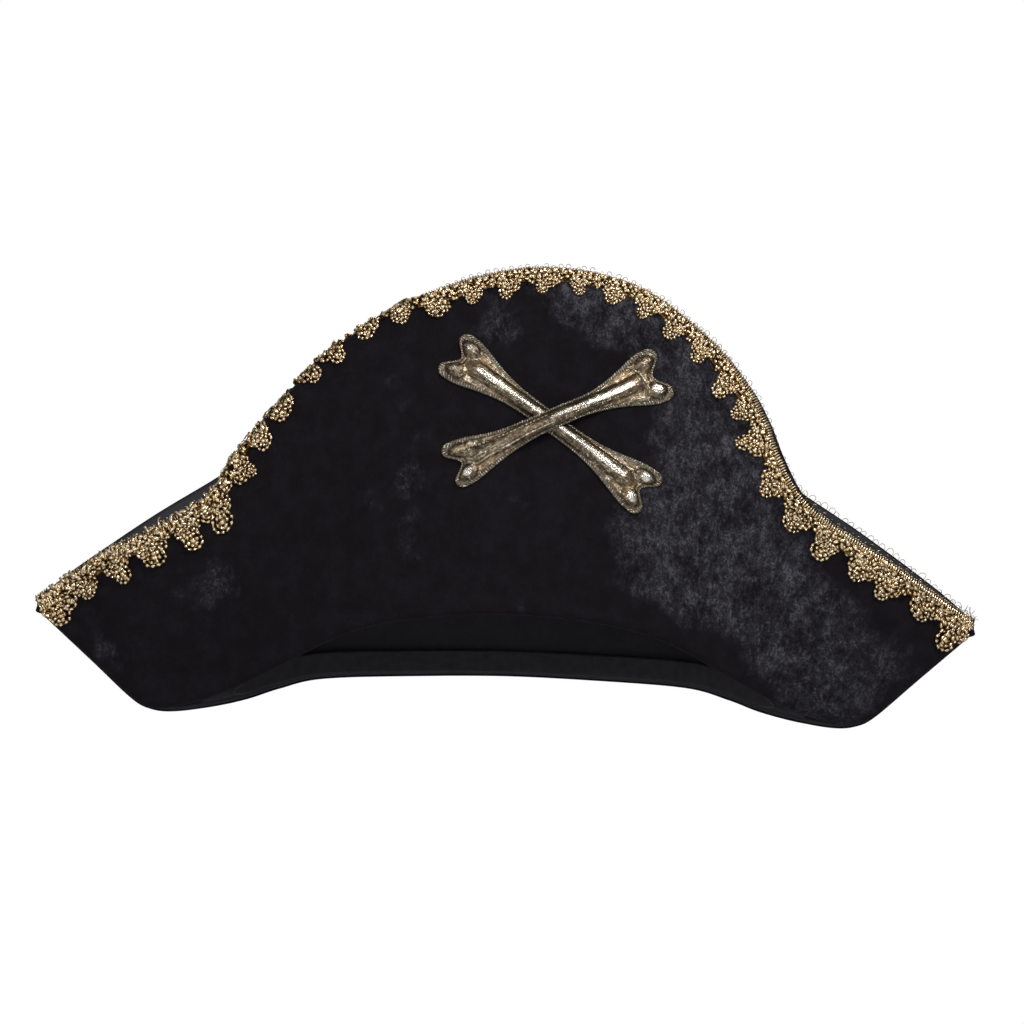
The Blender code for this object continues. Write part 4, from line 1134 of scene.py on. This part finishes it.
metal = mix_colour(tree, ramp_node(tree, tarnish, ((0.45, 0.0), (0.70, 0.5))), metal, (0.28, 0.18, 0.09))
# This attribute paints a near-white highlight into the colour along the shaft's crest and on some knobs, and also makes
# the cloth glossier and smoother there.
painted_highlight_and_gloss = tree.nodes.new("ShaderNodeAttribute")
painted_highlight_and_gloss.attribute_name = "painted_highlight_and_gloss"
painted_highlight_and_gloss = math_node(tree, "ADD", painted_highlight_and_gloss.outputs["Fac"], math_node(tree, "MULTIPLY", streak, 0.7))
painted_highlight_and_gloss = ramp_node(tree, painted_highlight_and_gloss, ((0.66, 0.0), (1.0, 1.0)))
metal = mix_colour(tree, math_node(tree, "MULTIPLY", painted_highlight_and_gloss, 0.75), metal, (0.92, 0.88, 0.80))
tree.links.new(mix_colour(tree, edge, metal, (0.155, 0.135, 0.105)), shader.inputs["Base Color"])
shine = mix_colour(tree, edge, ramp_node(tree, glint, ((0.38, 0.40), (0.62, 0.26))), (0.55, 0.55, 0.55))
shine = mix_colour(tree, painted_highlight_and_gloss, shine, (0.19, 0.19, 0.19))
tree.links.new(shine, shader.inputs["Roughness"])
crumple = noise_node(tree, where, 230.0, 4.0, 0.6, 0.8)
slack = math_node(tree, "MULTIPLY", crumple, math_node(tree, "SUBTRACT", 1.5, math_node(tree, "MULTIPLY", painted_highlight_and_gloss, 1.1)))
rough = math_node(tree, "ADD", slack, math_node(tree, "MULTIPLY", weave.outputs["Height"], 0.30))
add_bump(tree, shader, rough, 0.5, 0.0005)

thread, tree, shader, coordinates = new_material("champagne_thread", Metallic=0.7, Roughness=0.36)
twist = noise_node(tree, coordinates.outputs["Object"], 700.0, 2.0, 0.6)
tree.links.new(
    ramp_node(tree, twist, ((0.34, (0.08, 0.06, 0.04)), (0.50, (0.34, 0.28, 0.19)), (0.68, (0.92, 0.85, 0.70)))),
    shader.inputs["Base Color"],
)
add_bump(tree, shader, twist, 0.3, 0.0002)

wadding, tree, shader, coordinates = new_material("wadding", Roughness=0.95)
fluff = noise_node(tree, coordinates.outputs["Object"], 420.0, 4.0)
tree.links.new(ramp_node(tree, fluff, ((0.3, 0.62), (0.7, 0.86))), shader.inputs["Base Color"])
add_bump(tree, shader, fluff, 0.6, 0.0008)


def bone_middle(bone):
    return FRONT_PEAK[0] + bone[0][0], FRONT_PEAK[1] - BONES_BELOW_PEAK + bone[0][1]


def bone_plan(bone, a, b):
    """Where share a of the length and b of the width lie on the panel, as (x, z). The width eases from the waist
    to the ends with a^4 (5 - 4a), and each end falls back in a notch between two round knobs."""
    middle_x, middle_z = bone_middle(bone)
    slope, half_length, ends = bone[1:]
    half_end = np.where(a < 0, *ends)
    wide = np.clip(np.abs(a) / 0.9, 0, 1)
    across = b * (BONE_HALF_WAIST + (half_end - BONE_HALF_WAIST) * wide**4 * (5 - 4 * wide))
    inner = np.clip(1 - np.abs(b) / BONE_KNOB, 0, 1)
    outer = np.clip((np.abs(b) - BONE_KNOB) / (1 - BONE_KNOB), 0, 1)
    knob_radius = half_end * (1 - BONE_KNOB)
    back_off = BONE_NOTCH * inner**2 * (3 - 2 * inner) + knob_radius * (1 - np.sqrt(np.maximum(1 - outer**2, 0)))
    along = a * (half_length - back_off * np.abs(a) ** 8)
    turn = math.radians(slope)
    x = middle_x + along * math.cos(turn) - across * math.sin(turn)
    z = middle_z + along * math.sin(turn) + across * math.cos(turn)
    return x, z


def bone_hollow(bone, a, b):
    """Height of the stuffing. A half round ridge runs along the shaft and spreads towards the ends, and each of
    the four knobs is a half round dome. They run together as the fourth root of the sum of fourth powers."""
    half_end = np.where(a < 0, *bone[3])
    wide = np.clip(np.abs(a) / 0.9, 0, 1)
    half = BONE_HALF_WAIST + (half_end - BONE_HALF_WAIST) * wide**4 * (5 - 4 * wide)
    ridge_half = (1 - BONE_FLAT_EDGE) * BONE_HALF_WAIST + 0.0012 * wide**3
    ridge = 1 - np.abs(b * half / np.minimum(ridge_half, 0.9 * half)) ** 2
    ridge = RIDGE_HEIGHT * np.sqrt(np.clip(ridge, 0, 1)) * np.clip((0.90 - np.abs(a)) / 0.16, 0, 1) ** 0.6
    dome = 1 - ((np.abs(a) - 0.865) / 0.095) ** 2 - ((np.abs(b) - 0.50) / 0.34) ** 2
    dome = DOME_HEIGHT * np.sqrt(np.clip(dome, 0, 1))
    web = 1 - (np.abs(b) / (1 - BONE_FLAT_EDGE)) ** 6 - (np.abs(a) / 0.93) ** 24
    web = WEB_HEIGHT * np.clip(web, 0, 1) ** 0.5
    return (ridge**4 + dome**4 + web**4) ** 0.25


def bone_highlight_and_gloss(bone, crossed, knob_highlights, a, b):
    """A painted highlight, which also marks where the cloth is glossier: up to one along the crest of the shaft, most
    near the ends, and the given values over the knobs (left low, left high, right low, right high). The over bone's
    seamed half gets less of it."""
    half_end = np.where(a < 0, *bone[3])
    wide = np.clip(np.abs(a) / 0.9, 0, 1)
    half = BONE_HALF_WAIST + (half_end - BONE_HALF_WAIST) * wide**4 * (5 - 4 * wide)
    crest = np.exp(-(((b * half - CREST_SHIFT) / CREST_HALF) ** 2)) * np.clip((0.80 - np.abs(a)) / 0.12, 0, 1)
    crest = crest * (0.55 + 0.45 * np.exp(-(((np.abs(a) - 0.55) / 0.25) ** 2)))
    knob = np.exp(-(((np.abs(a) - 0.875) / 0.045) ** 2) - ((np.abs(b) - 0.50) / 0.19) ** 2)
    knob = knob * np.where(a < 0, np.where(b < 0, *knob_highlights[:2]), np.where(b < 0, *knob_highlights[2:]))
    if crossed:
        crest = crest * (0.35 + 0.65 * np.clip((a + 0.15) / 0.15, 0, 1))
    return np.maximum(crest, knob)


def bone_base(bone, crossed, a, b):
    """The flat underside of a bone on the velvet, and the panel's normal there. It lifts over a crossed bone."""
    x, z = bone_plan(bone, a, b)
    s, t = front.locate(x, z, 0.5 + x / (2.6 * TIP_HALF_SPAN), z / FRONT_PEAK[1])
    h = 0.008
    along = front.inner_face(s + h, t) - front.inner_face(s - h, t)
    n = np.cross(along, front.inner_face(s, t + h) - front.inner_face(s, t - h))
    n /= np.linalg.norm(n, axis=-1, keepdims=True)
    n *= -np.sign(n[..., 1:2])
    lift = 0 * x
    if crossed:
        middle_x, middle_z = bone_middle(crossed)
        turn = math.radians(crossed[1])
        away = np.abs((z - middle_z) * math.cos(turn) - (x - middle_x) * math.sin(turn))
        near = 1 - np.clip((away - CROSSING_REACH * BONE_HALF_WAIST) / CROSSING_EASE, 0, 1)
        lift = (BONE_PUFF + 2 * BONE_LAYER) * near**2 * (3 - 2 * near)
    return front.layer(s, t, PANEL_THICKNESS + BONE_STANDOFF) + n * lift[..., None], n


def grid_normals(points):
    n = np.cross(np.gradient(points, axis=1), np.gradient(points, axis=0))
    n /= np.maximum(np.linalg.norm(n, axis=-1, keepdims=True), 1e-12)
    return n * -np.sign(n[..., 1].mean())


def blow_up(name, start, held):
    """Simulate a grid of cloth, enlarged, under pressure. Its held points stay, and no point moves further than
    the cap. The result comes back at its own size, and the helper is removed."""
    rows, columns = start.shape[:2]
    middle = start.reshape(-1, 3).mean(0)
    helper = put_mesh(name, (start - middle) * CLOTH_SCALE, grid_faces(rows, columns)[:, ::-1], lame)
    group = helper.vertex_groups.new(name="held")
    group.add(np.flatnonzero(held.ravel()).tolist(), 1.0, "REPLACE")
    cloth = helper.modifiers.new("cloth", "CLOTH")
    settings = cloth.settings
    settings.vertex_group_mass = "held"
    settings.quality = 8
    settings.mass = 0.15
    settings.tension_stiffness = settings.compression_stiffness = 20.0
    settings.shear_stiffness = 12.0
    settings.bending_stiffness = 0.4
    settings.shrink_min = -0.03
    settings.use_pressure = True
    settings.uniform_pressure_force = CLOTH_PRESSURE
    settings.effector_weights.gravity = 0.0
    cloth.collision_settings.use_collision = False
    cloth.point_cache.frame_end = CLOTH_FRAMES
    for frame_number in range(1, CLOTH_FRAMES + 1):
        bpy.context.scene.frame_set(frame_number)
    settled = helper.evaluated_get(bpy.context.evaluated_depsgraph_get())
    found = np.empty(rows * columns * 3)
    settled.data.vertices.foreach_get("co", found)
    bpy.data.objects.remove(helper)
    bpy.context.scene.frame_set(1)
    moved = found.reshape(start.shape) / CLOTH_SCALE + middle - start
    far = np.linalg.norm(moved, axis=-1, keepdims=True)
    return start + moved * np.minimum(1, CLOTH_MOST_MOVE / np.maximum(far, 1e-9))


def sew_bone(word, bone, crossed, knob_highlights):
    """The cover and the wadding of one bone. Returns functions of its surface for what is sewn on it."""
    a, b = np.meshgrid(np.linspace(-1, 1, BONE_COLUMNS), np.linspace(-1, 1, BONE_ROWS))
    base, n = bone_base(bone, crossed, a, b)
    hollow = bone_hollow(bone, a, b)
    start = base + n * (0.92 * hollow + LAME_THICKNESS)[..., None]
    top = start
    held = hollow < 0.0004
    top = start + (blow_up(f"{word}_cloth", start, held) - start) * (0.25 + 0.75 * np.abs(a) ** 1.5)[..., None]
    rise = ((top - base) * n).sum(-1)
    top = top + n * np.maximum(LAME_THICKNESS - rise, 0)[..., None]
    facing = grid_normals(top)
    cover = shell(f"{word}_bone", top, top - facing * LAME_THICKNESS, lame, np.stack([a, b], axis=-1))
    # The painted highlight and the gloss go on every point of the cover as an attribute.
    painted_highlight_and_gloss = bone_highlight_and_gloss(bone, crossed, knob_highlights, a, b).ravel()
    highlight_and_gloss_values = cover.data.attributes.new("painted_highlight_and_gloss", "FLOAT", "POINT")
    highlight_and_gloss_values.data.foreach_set("value", np.concatenate([painted_highlight_and_gloss, painted_highlight_and_gloss]).astype(np.float32))
    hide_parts(f"{word}_bone_cover")
    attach(cover, "root")
    inside = (slice(6, -6), slice(8, -8))
    lower = base[inside] + n[inside] * 0.00005
    upper = top[inside] - facing[inside] * (LAME_THICKNESS + 0.0003)
    sunk = 0.0001 - ((upper - lower) * n[inside]).sum(-1)
    upper = np.where((sunk > 0)[..., None], lower + n[inside] * 0.0001, upper)
    stuffing = shell(f"{word}_wadding", upper, lower, wadding)
    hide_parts(f"{word}_bone_padding")
    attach(stuffing, "root")
    return cover, stuffing, top, facing


def on_bone(skin, a, b, lift):
    """The point this far above a bone's cover at (a, b), and its normal, read linearly from the cover's grid."""
    top, facing = skin
    i = np.clip((a + 1) / 2, 0, 1) * (BONE_COLUMNS - 1)
    j = np.clip((b + 1) / 2, 0, 1) * (BONE_ROWS - 1)
    i0, j0 = np.minimum(i.astype(int), BONE_COLUMNS - 2), np.minimum(j.astype(int), BONE_ROWS - 2)
    fi, fj = (i - i0)[..., None], (j - j0)[..., None]
    point, normal = (
        (g[j0, i0] * (1 - fi) + g[j0, i0 + 1] * fi) * (1 - fj) + (g[j0 + 1, i0] * (1 - fi) + g[j0 + 1, i0 + 1] * fi) * fj
        for g in (top, facing)
    )
    return point + normal * np.asarray(lift)[..., None], normal


STITCH_PITCH, STITCH_RADIUS = 0.00115, 0.00024


def overcast(skin, yarn, random):
    """Short stitches over the flat edge, all the way round: along the two long sides, and across the ends."""
    top = skin[0]
    share = np.linspace(0, 1, 5)[None]
    for b_edge in (-1, 1):
        side = top[0 if b_edge < 0 else -1]
        length = np.linalg.norm(np.diff(side, axis=0), axis=-1)
        count = round(length.sum() / STITCH_PITCH)
        walked = np.concatenate([[0], np.cumsum(length)]) / length.sum()
        a = np.interp((np.arange(count) + 0.5) / count, walked, np.linspace(-1, 1, BONE_COLUMNS))[:, None]
        b = b_edge * (0.80 + random.uniform(-0.03, 0.03, (count, 1)) + 0.21 * share)
        slant = 0.008 * (share - 0.5)
        point, up = on_bone(skin, a + slant, b, 0.00012 + 0.00026 * np.sin(np.pi * share) + 0 * b)
        yarn.add(point, up, STITCH_RADIUS * random.uniform(0.75, 1.15, (count, 1)) + 0 * b, 0.5 + share + 0 * b, 4)
    for a_edge in (-1, 1):
        end = top[:, 0 if a_edge < 0 else -1]
        length = np.linalg.norm(np.diff(end, axis=0), axis=-1)
        count = round(length.sum() / STITCH_PITCH)
        walked = np.concatenate([[0], np.cumsum(length)]) / length.sum()
        b = np.interp((np.arange(count) + 0.5) / count, walked, np.linspace(-1, 1, BONE_ROWS))[:, None]
        a = a_edge * (0.965 + random.uniform(-0.006, 0.006, (count, 1)) + 0.036 * share)
        point, up = on_bone(skin, a, b + 0 * a, 0.00012 + 0.00026 * np.sin(np.pi * share) + 0 * a)
        yarn.add(point, up, STITCH_RADIUS * random.uniform(0.75, 1.15, (count, 1)) + 0 * a, 0.5 + share + 0 * a, 4)


def running(skin, yarn, route, pitch, radius, fill=0.62):
    """A row of separate stitches along a route of (a, b) points."""
    dense = smooth_curve(route)
    place, _ = on_bone(skin, dense[:, 0], dense[:, 1], 0 * dense[:, 0])
    count = max(round(np.linalg.norm(np.diff(place, axis=0), axis=-1).sum() / pitch), 1)
    share = np.linspace(-0.5, 0.5, 5)[None] * fill
    where = at_share(dense, (np.arange(count)[:, None] + 0.5 + share) / count)
    point, up = on_bone(skin, where[..., 0], where[..., 1], 0.5 * radius * np.cos(np.pi * share / fill) + 0.00005)
    yarn.add(point, up, np.full(point.shape[:2], radius), 0.5 + share + 0 * point[..., 0], 4)


def piping(skin, yarn, route, radius, twist):
    """One twisted cord laid along a route of (a, b) points. Its radius swells and narrows once a twist."""
    dense = smooth_curve(route)
    place, _ = on_bone(skin, dense[:, 0], dense[:, 1], 0 * dense[:, 0])
    length = np.linalg.norm(np.diff(place, axis=0), axis=-1).sum()
    share = np.linspace(0, 1, round(5 * length / twist))[None]
    where = at_share(dense, share)
    point, up = on_bone(skin, where[..., 0], where[..., 1], 0.6 * radius + 0 * share)
    phase = share * length / twist
    yarn.add(point, up, radius * (0.84 + 0.16 * np.cos(2 * np.pi * phase)) + 0 * share, phase)


skins = {}
# The four numbers are how much painted highlight each knob gets.
for word, bone, crossed, knob_highlights in (
    ("under", UNDER_BONE, None, (0.45, 0.55, 1.0, 0.95)), ("over", OVER_BONE, UNDER_BONE, (0.95, 0.25, 1.0, 0.30)),
):
    cover, stuffing, top, facing = sew_bone(word, bone, crossed, knob_highlights)
    skins[word] = (top, facing)
    random = np.random.default_rng(21 if word == "over" else 22)
    edging = Yarn()
    overcast(skins[word], edging, random)
    if word == "over":
        running(skins[word], edging, ((-0.84, 0.42), (-0.6, 0.44), (-0.35, 0.48), (-0.08, 0.48)), 0.0019, 0.00042)
        piping(skins[word], edging, ((-0.86, -0.36), (-0.6, -0.34), (-0.35, -0.40), (-0.06, -0.44)), 0.00056, 0.0011)
        piping(skins[word], edging, ((0.76, -0.80), (0.82, -0.3), (0.80, 0.2), (0.72, 0.80)), 0.00052, 0.0012)
        running(skins[word], edging, ((0.08, -0.42), (0.35, -0.36), (0.66, -0.34)), 0.0013, 0.00024)
    else:
        running(skins[word], edging, ((-0.80, -0.36), (-0.5, -0.34), (-0.2, -0.40)), 0.0014, 0.00026)
        running(skins[word], edging, ((0.22, 0.40), (0.5, 0.36), (0.80, 0.34)), 0.0014, 0.00026)
    stitches = edging.build(f"{word}_bone_stitches", thread)
    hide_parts(f"{word}_bone_cover")
    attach(stitches, "root")
